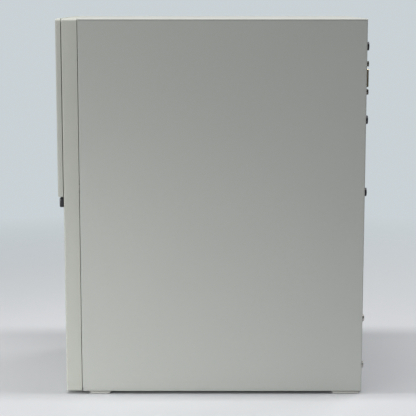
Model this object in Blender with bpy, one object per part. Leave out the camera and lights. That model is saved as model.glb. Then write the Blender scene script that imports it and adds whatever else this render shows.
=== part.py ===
"""A compact desktop computer tower, in metres, +Z up, its front towards -Y.

The origin is at the middle of the bounding box's bottom, on the surface that the feet stand on.
The motherboard stands on a tray beside the +X side. The -X side is the access panel, which slides off
rearwards.
"""

from math import cos, pi, radians, sin, sqrt

import bmesh
import bpy
from mathutils import Matrix, Vector

# Driving dimensions, in metres. The depth is that of the case, which the D-sub's screws stand proud of.
WIDTH = 0.170
DEPTH = 0.273
HEIGHT = 0.338
REAR_PROUD = 0.004
SHEET = 0.0008
GAP = 0.0003
FOOT_HEIGHT = 0.0022

SIDE = WIDTH / 2
FRONT = -(DEPTH + REAR_PROUD) / 2
REAR_EDGE = FRONT + DEPTH
BASE = FOOT_HEIGHT
TOP = HEIGHT

# Front bezel, its raised fascia and the dark strip of ports.
STRIP_FRONT = FRONT + 0.0014
BEZEL_FRONT = FRONT + 0.005
BEZEL_BACK = FRONT + 0.0183
BEZEL_WALL = 0.0025
PANEL_FRONT = BEZEL_BACK + 0.001
FASCIA_BOTTOM = 0.1805
FASCIA_PLATE = 0.0042
STRIP_TOP = 0.1800
STRIP_BOTTOM = 0.1715
STRIP_MIDDLE = (STRIP_TOP + STRIP_BOTTOM) / 2
BOSS_BACK = BEZEL_FRONT + 0.0035
HOOK_BACK = BEZEL_BACK + 0.0075
HOOK_PLACES = [(x, z) for x in (-0.0790, 0.0705) for z in (0.0450, 0.2600)]
HOOK_SIZE = 0.004
INTAKE_SLOTS = [0.0300 + 0.0070 * row for row in range(6)]
INTAKE_HALF = 0.045
INTAKE_HEIGHT = 0.0030
DISC_OPENING = ((-0.0700, 0.2900), (0.0700, 0.3250))
STRIP_OPENING = ((-0.0720, 0.1722), (0.0720, 0.1793))
# What shows through the strip: left edge, right edge and half height of each opening.
STRIP_OPENINGS = {
    "button": (-0.0640, -0.0460, 0.0027),
    "lens": (-0.0400, -0.0340, 0.0012),
    "audio": (-0.0240, -0.0170, 0.0027),
    "usb_left": (-0.0080, 0.0060, 0.0030),
    "usb_right": (0.0130, 0.0270, 0.0030),
    "card": (0.0350, 0.0610, 0.0016),
}
IO_BOARD = ((-0.0400, -0.1150), (0.0630, -0.0880))

# Sheet-metal shell.
SKIN_TOP = TOP - SHEET - GAP
INNER_SIDE = SIDE - SHEET - GAP
WALL_BOTTOM = BASE + SHEET + GAP
WALL_TOP = SKIN_TOP
REAR_FLANGE = REAR_EDGE - SHEET
REAR_FACE = REAR_FLANGE - GAP
REAR_INSIDE = REAR_FACE - SHEET
FRONT_WALL_FRONT = PANEL_FRONT + 0.0004
FRONT_WALL_BACK = FRONT_WALL_FRONT + SHEET
LEFT_FLANGE = -0.0700
RIGHT_FLANGE = 0.0745
TRAY_FACE = 0.0770
TRAY_OPENING = ((-0.0665, 0.2970), (0.0665, 0.3115))
SOCKETS_OPENING = ((-0.0450, 0.1660), (0.0650, 0.1815))
SUPPLY_OPENING = ((-0.0680, 0.0110), (0.0630, 0.0735))
COOLER_WINDOW_HALF = 0.042
CABLE_WINDOW = ((-0.0900, 0.1200), (-0.0600, 0.2200))
FOOT_WIDTH = 0.022
FOOT_DRAFT = 0.0022
FRONT_FOOT = (FRONT + 0.0256, FRONT + 0.0456)
REAR_FOOT = (REAR_EDGE - 0.0270, REAR_EDGE - 0.0010)

# Motherboard and what stands on it. Its component side faces -X.
BOARD_FACE = 0.0691
BOARD_THICK = 0.0016
BOARD_REAR = REAR_INSIDE - 0.00135
BOARD_FRONT = -0.0470
BOARD_BOTTOM = 0.0920
BOARD_TOP = 0.3180
STANDOFF_PLACES = [(y, z) for y in (-0.0400, 0.0450, 0.1260) for z in (0.0985, 0.2000, 0.3115)]
CPU_Y = 0.0620
CPU_Z = 0.2500
COOLER_HALF = 0.040
COOLER_BASE = BOARD_FACE - 0.0080
COOLER_TIP = COOLER_BASE - 0.0350
CPU_FAN_DEPTH = 0.015
MEMORY_Y = [-0.0120, -0.0220]
MEMORY_BOTTOM = 0.1400
MEMORY_LENGTH = 0.13335
SLOT_HEIGHT = 0.0110
LATCH_THICK = 0.0045

# Rear connectors: the input and output aperture and the expansion slots.
SHIELD_LOW_X = 0.02845
SHIELD_HIGH_X = 0.0729
SHIELD_LOW_Z = 0.1590
SHIELD_HIGH_Z = 0.31775
PORT_FACE = REAR_FACE + 0.0005
VGA_Z = 0.2852
VGA_TIP = REAR_EDGE + 0.0036
JACKSCREW_PITCH = 0.0250
VGA_X = BOARD_FACE - 0.0065
PORT_X = BOARD_FACE - GAP
# Low x, low z, high x and high z of each socket on the board's rear edge.
PORT_OUTLINES = {
    "vga_port": (VGA_X - 0.0062, VGA_Z - 0.0155, PORT_X, VGA_Z + 0.0155),
    "display_port": (PORT_X - 0.0065, 0.2500, PORT_X, 0.2665),
    "usb_ports": (PORT_X - 0.0160, 0.2270, PORT_X, 0.2420),
    "network_port": (PORT_X - 0.0290, 0.2030, PORT_X, 0.2190),
    "audio_ports": (PORT_X - 0.0350, 0.1720, PORT_X, 0.1850),
}
# The sockets' mouths: centre x, centre z, half width along x, half width along z, depth.
PORT_MOUTHS = {
    "display_port": [(PORT_X - 0.00325, 0.25825, 0.0024, 0.0070, 0.0100)],
    "usb_ports": [(PORT_X - offset, 0.2345, 0.0026, 0.0062, 0.0100) for offset in (0.0043, 0.0117)],
    "network_port": [
        (PORT_X - 0.0043, 0.2110, 0.0026, 0.0062, 0.0100),
        (PORT_X - 0.0110, 0.2110, 0.0026, 0.0062, 0.0100),
        (PORT_X - 0.0218, 0.2110, 0.0044, 0.0060, 0.0120),
    ],
    "audio_ports": [(PORT_X - 0.0060 - 0.0115 * row, 0.1785, 0.0020, 0.0020, 0.0120) for row in range(3)],
}
SLOT_PITCH = 0.02032
SLOT_CENTRES = [0.14670 - SLOT_PITCH * index for index in range(3)]
SLOT_OPEN = (-0.0440, 0.0640)
SLOT_OPEN_HALF = 0.0063
SLOT_COVER = (-0.0500, 0.0690)
COVER_HALF = 0.0092
LATCH_AXIS = (SLOT_COVER[0] - 0.0045, REAR_INSIDE - 0.0050)

# Fans.
REAR_FAN_X = -0.0245
REAR_FAN_Z = 0.2620
REAR_FAN_HALF = 0.046
REAR_FAN_DEPTH = 0.025

# Power supply.
PSU_HALF = 0.075
PSU_BOTTOM = 0.0045
PSU_TOP = 0.0800
PSU_FRONT = 0.0050
PSU_REAR = REAR_INSIDE - GAP
PSU_WALL = 0.001
PSU_FAN_X = -0.0340
PSU_FAN_Z = 0.0422
PSU_FAN_RADIUS = 0.030
INLET_X = 0.0330
INLET_Z = 0.0422

# Drives.
DRIVE_Y = (-0.1115, -0.0099)
DRIVE_Z = (0.0056, 0.0317)
DRIVE_HALF_LENGTH = 0.0735
ODD_HALF = 0.064
ODD_Y = (-0.1120, 0.0150)
ODD_Z = (0.2985, 0.3095)
ODD_WALL = 0.0008
CAGE_SIDE = 0.0672
CAGE_DROP = 0.0020
CAGE_LIP = 0.0300
CAGE_HALF_LENGTH = 0.0755
TRAY_HALF = 0.0615
TRAY_Z = (0.3000, 0.3060)
TRAY_BACK = 0.0130
TRAY_FACE_FRONT = FRONT + 0.0002
TRAY_FACE_BACK = TRAY_FACE_FRONT + 0.0030
TRAY_FACE_OUTLINE = ((-0.0645, 0.2990), (0.0645, 0.3110))
EJECT_OPENING = ((0.0440, 0.3030), (0.0520, 0.3070))
DISC_Y = -0.0700
DISC_RADIUS = 0.0605
EYE_RADIUS = 0.0150
HUB_RADIUS = 0.0072
BEAM_THICK = 0.0012
DISC_Z = TRAY_Z[1] - 0.0018

# Screws through the side panels' rear flanges: black flat heads, and dome heads low on the fixed side.
SCREW_HOLE = 0.0021
SCREW_SHANK = 0.0016
SCREW_REACH = 0.0055
SCREW_HEIGHT = 0.0015
FLAT_RADIUS = 0.0038
DOME_RADIUS = 0.0034
PANEL_SCREW_X = -0.0770
PANEL_SCREW_Z = (0.1847, 0.3140)
SIDE_SCREW = (0.0800, 0.2493)
CASE_SCREWS = ((0.0800, 0.0262), (0.0800, 0.0696))

# Cables that the case holds all the way: radius and the points that the route passes.
CABLES = {
    "main_power_cable": (0.0045, [
        (0.0550, PSU_FRONT - GAP, 0.0620), (0.0550, -0.0120, 0.0620), (0.0540, -0.0300, 0.0800),
        (0.0530, -0.0360, 0.1200), (0.0500, -0.0370, 0.1650), (0.0510, -0.0370, 0.1950),
        (0.0580, -0.0370, 0.2050),
    ]),
    "drive_cable": (0.0022, [
        (-0.0744, -0.0300, 0.0180), (-0.0775, -0.0300, 0.0188), (-0.0785, -0.0300, 0.0350),
        (-0.0750, -0.0300, 0.0600), (-0.0500, -0.0280, 0.0950), (0.0100, -0.0280, 0.1060),
        (0.0520, -0.0280, 0.1080), (0.0640, -0.0280, 0.1080),
    ]),
    "front_panel_cable": (0.0022, [
        (0.0000, -0.0874, 0.1718), (0.0010, -0.0800, 0.1716), (0.0280, -0.0640, 0.1450),
        (0.0480, -0.0480, 0.1180), (0.0580, -0.0420, 0.1060), (0.0640, -0.0420, 0.1050),
    ]),
}


def clear_scene():
    for old in list(bpy.data.objects):
        bpy.data.objects.remove(old, do_unlink=True)


def material(name, colour, roughness, metallic=0.0):
    found = bpy.data.materials.get(name)
    if found:
        return found
    made = bpy.data.materials.new(name)
    made.use_nodes = True
    shader = made.node_tree.nodes["Principled BSDF"]
    shader.inputs["Base Color"].default_value = (*colour, 1.0)
    shader.inputs["Roughness"].default_value = roughness
    shader.inputs["Metallic"].default_value = metallic
    made.diffuse_color = (*colour, 1.0)
    return made


FINISHES = {
    "painted": ((0.66, 0.68, 0.65), 0.45, 0.0),
    "bezel": ((0.68, 0.68, 0.62), 0.5, 0.0),
    "dark": ((0.03, 0.03, 0.035), 0.4, 0.0),
    "steel": ((0.62, 0.63, 0.63), 0.35, 1.0),
    "board": ((0.03, 0.16, 0.08), 0.5, 0.0),
    "black": ((0.02, 0.02, 0.02), 0.45, 0.0),
    "aluminium": ((0.75, 0.76, 0.77), 0.3, 1.0),
    "rubber": ((0.55, 0.56, 0.54), 0.7, 0.0),
    "lens": ((0.5, 0.75, 0.9), 0.15, 0.0),
}


def link(name, mesh, finish, origin=(0, 0, 0), parent=None, smooth=False):
    """An object whose mesh was modelled in world coordinates, with its origin moved to a chosen point."""
    origin = Vector(origin)
    mesh.transform(Matrix.Translation(-origin))
    if smooth:
        mesh.shade_smooth()
        mesh.set_sharp_from_angle(angle=radians(35))
    mesh.materials.append(material(f"{name}_{finish}", *FINISHES[finish]))
    made = bpy.data.objects.new(name, mesh)
    bpy.context.scene.collection.objects.link(made)
    made.location = origin
    if parent:
        made.parent = parent
        made.location = origin - world_place(parent)
    return made


def pivot(name, place, parent=None):
    """An empty on a joint's axis, which the joint's pieces hang from. Parents stand unrotated."""
    made = bpy.data.objects.new(name, None)
    bpy.context.scene.collection.objects.link(made)
    made.location = place
    if parent:
        made.parent = parent
        made.location = Vector(place) - world_place(parent)
    return made


def world_place(item):
    place = item.location.copy()
    while item.parent:
        item = item.parent
        place += item.location
    return place


def box_mesh(low, high):
    shape = bmesh.new()
    bmesh.ops.create_cube(shape, size=1.0)
    size = Vector(high) - Vector(low)
    middle = (Vector(high) + Vector(low)) / 2
    for vert in shape.verts:
        vert.co = Vector(vert.co[i] * size[i] + middle[i] for i in range(3))
    return finished(shape)


def finished(shape):
    bmesh.ops.recalc_face_normals(shape, faces=shape.faces)
    mesh = bpy.data.meshes.new("shape")
    shape.to_mesh(mesh)
    shape.free()
    return mesh


# A flat outline's two axes and the axis it is extruded along, in right-handed order.
PLANES = {"YZ": (1, 2, 0), "XZ": (0, 2, 1), "XY": (0, 1, 2)}


def plate_mesh(plane, outline, start, end, holes=()):
    """An outline with holes, extruded from start to end along the axis across its plane."""
    first, second, across = PLANES[plane]
    shape = bmesh.new()
    for loop in (outline, *holes):
        ring = []
        for point in loop:
            place = [0.0, 0.0, 0.0]
            place[first], place[second], place[across] = point[0], point[1], start
            ring.append(shape.verts.new(place))
        for index, vert in enumerate(ring):
            shape.edges.new((vert, ring[(index + 1) % len(ring)]))
    bmesh.ops.triangle_fill(shape, edges=shape.edges[:], use_beauty=True)
    grown = bmesh.ops.extrude_face_region(shape, geom=shape.faces[:])
    shift = [0.0, 0.0, 0.0]
    shift[across] = end - start
    moved = [item for item in grown["geom"] if isinstance(item, bmesh.types.BMVert)]
    bmesh.ops.translate(shape, verts=moved, vec=shift)
    return finished(shape)


def rectangle(low, high):
    return [(low[0], low[1]), (high[0], low[1]), (high[0], high[1]), (low[0], high[1])]


def circle(centre, radius, steps=12, phase=0.0):
    turn = 2 * pi / steps
    angles = [phase + turn * step for step in range(steps)]
    return [(centre[0] + radius * cos(a), centre[1] + radius * sin(a)) for a in angles]


def vent_slots(centre, radius, pitch, height):
    """Level slots that fill a circle, each as long as the circle is wide at its height."""
    count = int((radius - height / 2) / pitch)
    slots = []
    for row in range(-count, count + 1):
        reach = sqrt(radius**2 - (abs(row) * pitch + height / 2) ** 2)
        level = centre[1] + row * pitch
        low = (centre[0] - reach, level - height / 2)
        slots.append(rectangle(low, (centre[0] + reach, level + height / 2)))
    return slots


def cutter(mesh):
    made = bpy.data.objects.new("cutter", mesh)
    bpy.context.scene.collection.objects.link(made)
    made.hide_render = True
    made.display_type = "WIRE"
    return made


def combine(target, mesh, operation="DIFFERENCE"):
    """Cuts a world-placed mesh out of an object, or joins it on, and applies the result."""
    tool = cutter(mesh)
    change = target.modifiers.new("combine", "BOOLEAN")
    change.operation = operation
    change.object = tool
    change.solver = "EXACT"
    bpy.context.view_layer.update()
    graph = bpy.context.evaluated_depsgraph_get()
    result = bpy.data.meshes.new_from_object(target.evaluated_get(graph))
    target.modifiers.clear()
    target.data = result
    bpy.data.objects.remove(tool, do_unlink=True)


def round_edges(target, radius, segments=2, limit=60):
    change = target.modifiers.new("rounding", "BEVEL")
    change.width = radius
    change.segments = segments
    change.limit_method = "ANGLE"
    change.angle_limit = radians(limit)
    return change


# The shell.


def make_feet():
    for end, (start, stop) in (("front", FRONT_FOOT), ("rear", REAR_FOOT)):
        for side, sign in (("left", -1), ("right", 1)):
            top = BASE - GAP
            outline = [(start + FOOT_DRAFT, 0), (stop - FOOT_DRAFT, 0), (stop, top), (start, top)]
            outer, inner = sign * SIDE, sign * (SIDE - FOOT_WIDTH)
            low, high = min(outer, inner), max(outer, inner)
            foot = link(f"foot_{end}_{side}", plate_mesh("YZ", outline, low, high), "rubber")
            x, y = (low + high) / 2, (start + stop) / 2
            peg = box_mesh((x - 0.0020, y - 0.0020, top - 0.0005), (x + 0.0020, y + 0.0020, BASE + SHEET))
            combine(foot, peg, "UNION")


def make_bottom_pan():
    holes = []
    for start, stop in (FRONT_FOOT, REAR_FOOT):
        for sign in (-1, 1):
            x, y = sign * (SIDE - FOOT_WIDTH / 2), (start + stop) / 2
            holes.append(rectangle((x - 0.0023, y - 0.0023), (x + 0.0023, y + 0.0023)))
    outline = rectangle((-INNER_SIDE, FRONT_WALL_FRONT), (INNER_SIDE, REAR_FACE))
    link("bottom_pan", plate_mesh("XY", outline, BASE, BASE + SHEET, holes), "steel")


def make_top_cover():
    outline = rectangle((-SIDE, PANEL_FRONT), (SIDE, REAR_EDGE))
    cover = link("top_cover", plate_mesh("XY", outline, TOP - SHEET, TOP), "painted")
    round_edges(cover, 0.0005)


def make_right_side_panel():
    """The fixed side panel, with a flange folded over the rear wall."""
    inner = SIDE - SHEET
    outline = [(SIDE, PANEL_FRONT), (SIDE, REAR_EDGE), (RIGHT_FLANGE, REAR_EDGE), (RIGHT_FLANGE, REAR_FLANGE)]
    outline += [(inner, REAR_FLANGE), (inner, PANEL_FRONT)]
    panel = link("right_side_panel", plate_mesh("XY", outline, BASE, SKIN_TOP), "painted")
    for place in (SIDE_SCREW, *CASE_SCREWS):
        combine(panel, plate_mesh("XZ", circle(place, SCREW_HOLE, 8), REAR_FLANGE - SHEET, REAR_EDGE + SHEET))


def make_front_wall():
    """The plate behind the bezel, open for the tray, the sockets, the air and the bezel's hooks."""
    holes = [rectangle(*TRAY_OPENING), rectangle(*SOCKETS_OPENING)]
    for level in INTAKE_SLOTS:
        holes.append(rectangle((-INTAKE_HALF, level), (INTAKE_HALF, level + INTAKE_HEIGHT)))
    for x, z in HOOK_PLACES:
        holes.append(rectangle((x - 0.001, z - 0.002), (x + HOOK_SIZE + 0.001, z + 0.010)))
    outline = rectangle((-INNER_SIDE, WALL_BOTTOM), (INNER_SIDE, WALL_TOP))
    link("front_wall", plate_mesh("XZ", outline, FRONT_WALL_FRONT, FRONT_WALL_BACK, holes), "steel")


def make_rear_wall():
    holes = [rectangle((SHIELD_LOW_X, SHIELD_LOW_Z), (SHIELD_HIGH_X, SHIELD_HIGH_Z))]
    holes.append(rectangle(*SUPPLY_OPENING))
    for centre in SLOT_CENTRES:
        low = (SLOT_OPEN[0], centre - SLOT_OPEN_HALF)
        holes.append(rectangle(low, (SLOT_OPEN[1], centre + SLOT_OPEN_HALF)))
    holes += vent_slots((REAR_FAN_X, REAR_FAN_Z), 0.043, 0.0090, 0.0060)
    screws = [(PANEL_SCREW_X, z) for z in PANEL_SCREW_Z] + [SIDE_SCREW, *CASE_SCREWS]
    holes += [circle(place, SCREW_HOLE, 8) for place in screws]
    outline = rectangle((-INNER_SIDE, WALL_BOTTOM), (INNER_SIDE, WALL_TOP))
    link("rear_wall", plate_mesh("XZ", outline, REAR_INSIDE, REAR_FACE, holes), "steel")


def make_board_tray():
    """The upright plate that carries the motherboard on nine posts."""
    half = COOLER_WINDOW_HALF
    window = rectangle((CPU_Y - half, CPU_Z - half), (CPU_Y + half, CPU_Z + half))
    outline = rectangle((FRONT_WALL_BACK + GAP, WALL_BOTTOM), (REAR_INSIDE - GAP, WALL_TOP))
    mesh = plate_mesh("YZ", outline, TRAY_FACE, TRAY_FACE + SHEET, (window, rectangle(*CABLE_WINDOW)))
    tray = link("board_tray", mesh, "steel")
    for place in STANDOFF_PLACES:
        start = BOARD_FACE + BOARD_THICK + GAP
        post = plate_mesh("YZ", circle(place, 0.003, 8), start, TRAY_FACE + SHEET / 2)
        combine(tray, post, "UNION")


def make_access_panel(parent):
    inner = -SIDE + SHEET
    outline = [(-SIDE, PANEL_FRONT), (inner, PANEL_FRONT), (inner, REAR_FLANGE)]
    outline += [(LEFT_FLANGE, REAR_FLANGE), (LEFT_FLANGE, REAR_EDGE), (-SIDE, REAR_EDGE)]
    panel = link("access_panel", plate_mesh("XY", outline, BASE, SKIN_TOP), "painted", parent=parent)
    for z in PANEL_SCREW_Z:
        hole = circle((PANEL_SCREW_X, z), SCREW_HOLE, 8)
        combine(panel, plate_mesh("XZ", hole, REAR_FLANGE - SHEET, REAR_EDGE + SHEET))


# The front.


def make_front_bezel(parent):
    shell = box_mesh((-SIDE, BEZEL_FRONT, BASE), (SIDE, BEZEL_BACK, TOP))
    bezel = link("front_bezel", shell, "bezel", parent=parent)
    wall = BEZEL_WALL
    inside_low = (-SIDE + wall, BEZEL_FRONT + wall, BASE + wall)
    combine(bezel, box_mesh(inside_low, (SIDE - wall, BEZEL_BACK + 0.01, TOP - wall)))
    front, back = BEZEL_FRONT - 0.01, BEZEL_FRONT + 0.01
    slots = [((-INTAKE_HALF, level), (INTAKE_HALF, level + INTAKE_HEIGHT)) for level in INTAKE_SLOTS]
    for low, high in (DISC_OPENING, STRIP_OPENING, *slots):
        combine(bezel, box_mesh((low[0], front, low[1]), (high[0], back, high[1])))
    for x, z in HOOK_PLACES:
        arm = box_mesh((x, BEZEL_FRONT + wall / 2, z), (x + HOOK_SIZE, HOOK_BACK, z + 0.008))
        combine(bezel, arm, "UNION")


def make_upper_fascia(parent):
    plate_back = FRONT + FASCIA_PLATE
    core_back = BEZEL_FRONT - GAP
    plate = box_mesh((-SIDE, FRONT, FASCIA_BOTTOM), (SIDE, plate_back, TOP))
    fascia = link("upper_fascia", plate, "bezel", parent=parent)
    core = box_mesh((-0.0820, FRONT + 0.001, FASCIA_BOTTOM + 0.003), (0.0820, core_back, TOP - 0.003))
    combine(fascia, core, "UNION")
    (left, bottom), (right, top) = DISC_OPENING
    margin = 0.0005
    boss_low = (left + margin, FRONT + 0.002, bottom + margin)
    combine(fascia, box_mesh(boss_low, (right - margin, BOSS_BACK, top - margin)), "UNION")
    (left, bottom), (right, top) = TRAY_FACE_OUTLINE
    low = (left - margin, FRONT - 0.01, bottom - margin)
    combine(fascia, box_mesh(low, (right + margin, BOSS_BACK + 0.01, top + margin)))


def make_io_strip(parent):
    core_back = BEZEL_FRONT - GAP
    nose = 0.0012
    outline = [(STRIP_FRONT, STRIP_BOTTOM), (core_back, STRIP_BOTTOM), (core_back, STRIP_TOP)]
    outline += [(STRIP_FRONT + nose, STRIP_TOP), (STRIP_FRONT + nose * 0.3, STRIP_TOP - nose * 0.3)]
    outline.append((STRIP_FRONT, STRIP_TOP - nose))
    strip = link("io_strip", plate_mesh("YZ", outline, -SIDE, SIDE), "dark", parent=parent)
    (left, bottom), (right, top) = STRIP_OPENING
    margin = 0.0005
    boss_low = (left + margin, core_back - 0.001, bottom + margin)
    combine(strip, box_mesh(boss_low, (right - margin, BOSS_BACK, top - margin)), "UNION")
    for left, right, half in STRIP_OPENINGS.values():
        low = (left, STRIP_FRONT - 0.01, STRIP_MIDDLE - half)
        combine(strip, box_mesh(low, (right, BOSS_BACK + 0.01, STRIP_MIDDLE + half)))


def make_status_lens(parent):
    left, right, half = STRIP_OPENINGS["lens"]
    low = (left + GAP, STRIP_FRONT + 0.0002, STRIP_MIDDLE - half + GAP)
    high = (right - GAP, BOSS_BACK + 0.004, STRIP_MIDDLE + half - GAP)
    link("status_lens", box_mesh(low, high), "lens", parent=parent)


def make_power_button(parent):
    left, right, half = STRIP_OPENINGS["button"]
    margin = 0.0004
    low = (left + margin, STRIP_FRONT + 0.0003, STRIP_MIDDLE - half + margin)
    high = (right - margin, BOSS_BACK + 0.0045, STRIP_MIDDLE + half - margin)
    button = link("power_button", box_mesh(low, high), "bezel", parent=parent)
    round_edges(button, 0.0004)


def make_front_io_board():
    """The small board behind the front wall, with its sockets reaching forward into the strip."""
    board_top = STRIP_MIDDLE - 0.0031
    low, high = (*IO_BOARD[0], board_top - BOARD_THICK), (*IO_BOARD[1], board_top)
    board = link("front_io_board", box_mesh(low, high), "board")
    for name in ("audio", "usb_left", "usb_right", "card"):
        left, right, half = STRIP_OPENINGS[name]
        margin = 0.0003
        low = (left + margin, STRIP_FRONT + 0.0005, STRIP_MIDDLE - half + margin)
        high = (right - margin, -0.1050, STRIP_MIDDLE + half - margin)
        combine(board, box_mesh(low, high), "UNION")
        foot = box_mesh((left + 0.001, -0.1140, board_top - 0.0005), (right - 0.001, -0.1055, STRIP_MIDDLE))
        combine(board, foot, "UNION")
    for name in ("usb_left", "usb_right"):
        left, right, half = STRIP_OPENINGS[name]
        low = (left + 0.001, STRIP_FRONT - 0.01, STRIP_MIDDLE - half + 0.0009)
        combine(board, box_mesh(low, (right - 0.001, -0.1180, STRIP_MIDDLE + half - 0.0009)))


# Drives.


def make_optical_cage():
    """A channel that hangs from the top of the case and carries the optical drive."""
    side, floor = CAGE_SIDE, ODD_Z[0] - CAGE_DROP
    outline = [(-side, floor), (side, floor), (side, WALL_TOP), (side - SHEET, WALL_TOP)]
    outline += [(side - SHEET, floor + SHEET), (-side + SHEET, floor + SHEET), (-side + SHEET, WALL_TOP)]
    outline.append((-side, WALL_TOP))
    mesh = plate_mesh("XZ", outline, FRONT_WALL_BACK + GAP, ODD_Y[1] + 0.002)
    link("optical_drive_cage", mesh, "steel")


def make_optical_drive():
    low, high = (-ODD_HALF, ODD_Y[0], ODD_Z[0]), (ODD_HALF, ODD_Y[1], ODD_Z[1])
    drive = link("optical_drive", box_mesh(low, high), "steel")
    wall = ODD_WALL
    inside_low = (low[0] + wall, low[1] - 0.01, low[2] + wall)
    combine(drive, box_mesh(inside_low, (high[0] - wall, high[1] - wall, high[2] - wall)))


def make_optical_tray(parent):
    low, high = (-TRAY_HALF, TRAY_FACE_BACK + GAP, TRAY_Z[0]), (TRAY_HALF, TRAY_BACK, TRAY_Z[1])
    tray = link("optical_tray", box_mesh(low, high), "black", parent=parent)
    combine(tray, plate_mesh("XY", circle((0, DISC_Y), DISC_RADIUS, 40), DISC_Z, TRAY_Z[1] + 0.01))
    eye = circle((0, DISC_Y), EYE_RADIUS, 20)
    combine(tray, plate_mesh("XY", eye, TRAY_Z[0] - 0.01, TRAY_Z[1] + 0.01))
    reach = EYE_RADIUS + 0.003
    beam = box_mesh((-0.0040, DISC_Y - reach, TRAY_Z[0]), (0.0040, DISC_Y + reach, TRAY_Z[0] + BEAM_THICK))
    combine(tray, beam, "UNION")


def make_disc_hub(parent):
    outline = circle((0, DISC_Y), HUB_RADIUS, 20)
    mesh = plate_mesh("XY", outline, TRAY_Z[0] + BEAM_THICK + GAP, TRAY_Z[1] - 0.0004)
    link("disc_hub", mesh, "steel", origin=(0, DISC_Y, 0), parent=parent, smooth=True)


def make_tray_face(parent):
    (left, bottom), (right, top) = TRAY_FACE_OUTLINE
    plate = box_mesh((left, TRAY_FACE_FRONT, bottom), (right, TRAY_FACE_BACK, top))
    face = link("tray_face", plate, "bezel", parent=parent)
    (left, bottom), (right, top) = EJECT_OPENING
    combine(face, box_mesh((left, FRONT - 0.01, bottom), (right, TRAY_FACE_BACK + 0.01, top)))


def make_eject_button(parent):
    (left, bottom), (right, top) = EJECT_OPENING
    low = (left + GAP, TRAY_FACE_FRONT - 0.0002, bottom + GAP)
    high = (right - GAP, TRAY_FACE_BACK - 0.0008, top - GAP)
    link("eject_button", box_mesh(low, high), "bezel", parent=parent)


def make_hard_drive():
    low, high = (-DRIVE_HALF_LENGTH, DRIVE_Y[0], DRIVE_Z[0]), (DRIVE_HALF_LENGTH, DRIVE_Y[1], DRIVE_Z[1])
    drive = link("hard_drive", box_mesh(low, high), "aluminium")
    round_edges(drive, 0.0015, 2)


def make_hard_drive_cage():
    floor, lip, margin = WALL_BOTTOM, CAGE_LIP, 2 * GAP
    front, rear = DRIVE_Y[0] - margin, DRIVE_Y[1] + margin
    outline = [(front - SHEET, floor), (rear + SHEET, floor), (rear + SHEET, lip), (rear, lip)]
    outline += [(rear, floor + SHEET), (front, floor + SHEET), (front, lip), (front - SHEET, lip)]
    link("hard_drive_cage", plate_mesh("YZ", outline, -CAGE_HALF_LENGTH, CAGE_HALF_LENGTH), "steel")


# Power supply.


def make_power_supply():
    low, high = (-PSU_HALF, PSU_FRONT, PSU_BOTTOM), (PSU_HALF, PSU_REAR, PSU_TOP)
    case = link("power_supply_case", box_mesh(low, high), "steel")
    wall = PSU_WALL
    inner_low = tuple(value + wall for value in low)
    combine(case, box_mesh(inner_low, tuple(value - wall for value in high)))
    for outline in vent_slots((PSU_FAN_X, PSU_FAN_Z), 0.029, 0.0085, 0.0055):
        combine(case, plate_mesh("XZ", outline, PSU_REAR - 0.005, PSU_REAR + 0.005))
    for outline in vent_slots((0.0, PSU_FAN_Z), 0.026, 0.0085, 0.0050):
        combine(case, plate_mesh("XZ", outline, PSU_FRONT - 0.005, PSU_FRONT + 0.005))
    cut_low = (INLET_X - 0.0145, PSU_REAR - 0.005, INLET_Z - 0.0105)
    combine(case, box_mesh(cut_low, (INLET_X + 0.0145, PSU_REAR + 0.005, INLET_Z + 0.0105)))


def make_power_inlet():
    """The mains inlet: a plastic cup open to the rear, inside the case's cut-out."""
    low = (INLET_X - 0.0141, PSU_REAR - 0.0180, INLET_Z - 0.0101)
    inlet = link("power_inlet", box_mesh(low, (INLET_X + 0.0141, REAR_FACE, INLET_Z + 0.0101)), "black")
    cup = (INLET_X - 0.0120, PSU_REAR - 0.0150, INLET_Z - 0.0082)
    combine(inlet, box_mesh(cup, (INLET_X + 0.0120, REAR_FACE + 0.01, INLET_Z + 0.0082)))


# Fans.


def fan_outline(hub, tip, blades, sweep):
    """A hub circle with straight-sided blades, each leaning round by the sweep angle towards its tip."""
    points = []
    share = 2 * pi / blades
    for blade in range(blades):
        start = blade * share
        for radius, angle in ((hub, 0.0), (tip, sweep), (tip, sweep + share * 0.62), (hub, share * 0.5)):
            points.append((radius * cos(start + angle), radius * sin(start + angle)))
        points.append((hub * cos(start + share * 0.75), hub * sin(start + share * 0.75)))
    return points


def make_rotor(name, parent, radius, hub, depth, axis, twist=0.30, layers=3):
    """Blades on a hub, twisted along the axis as they rise. Its origin is on the spin axis."""
    outline = fan_outline(hub, radius, 7, 0.35)
    shape = bmesh.new()
    rings = []
    for layer in range(layers):
        turn = Matrix.Rotation(twist * layer, 3, "Z")
        level = depth * (layer / (layers - 1) - 0.5)
        rings.append([shape.verts.new(turn @ Vector((x, y, level))) for x, y in outline])
    count = len(outline)
    for lower, upper in zip(rings, rings[1:]):
        for index in range(count):
            after = (index + 1) % count
            shape.faces.new((lower[index], lower[after], upper[after], upper[index]))
    shape.faces.new(list(reversed(rings[0])))
    shape.faces.new(rings[-1])
    bmesh.ops.triangulate(shape, faces=shape.faces[:])
    mesh = finished(shape)
    turn = {"X": Matrix.Rotation(-pi / 2, 4, "Y"), "Y": Matrix.Rotation(-pi / 2, 4, "X")}[axis]
    mesh.transform(turn)
    mesh.materials.append(material(f"{name}_black", *FINISHES["black"]))
    made = bpy.data.objects.new(name, mesh)
    bpy.context.scene.collection.objects.link(made)
    made.parent = parent


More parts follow.
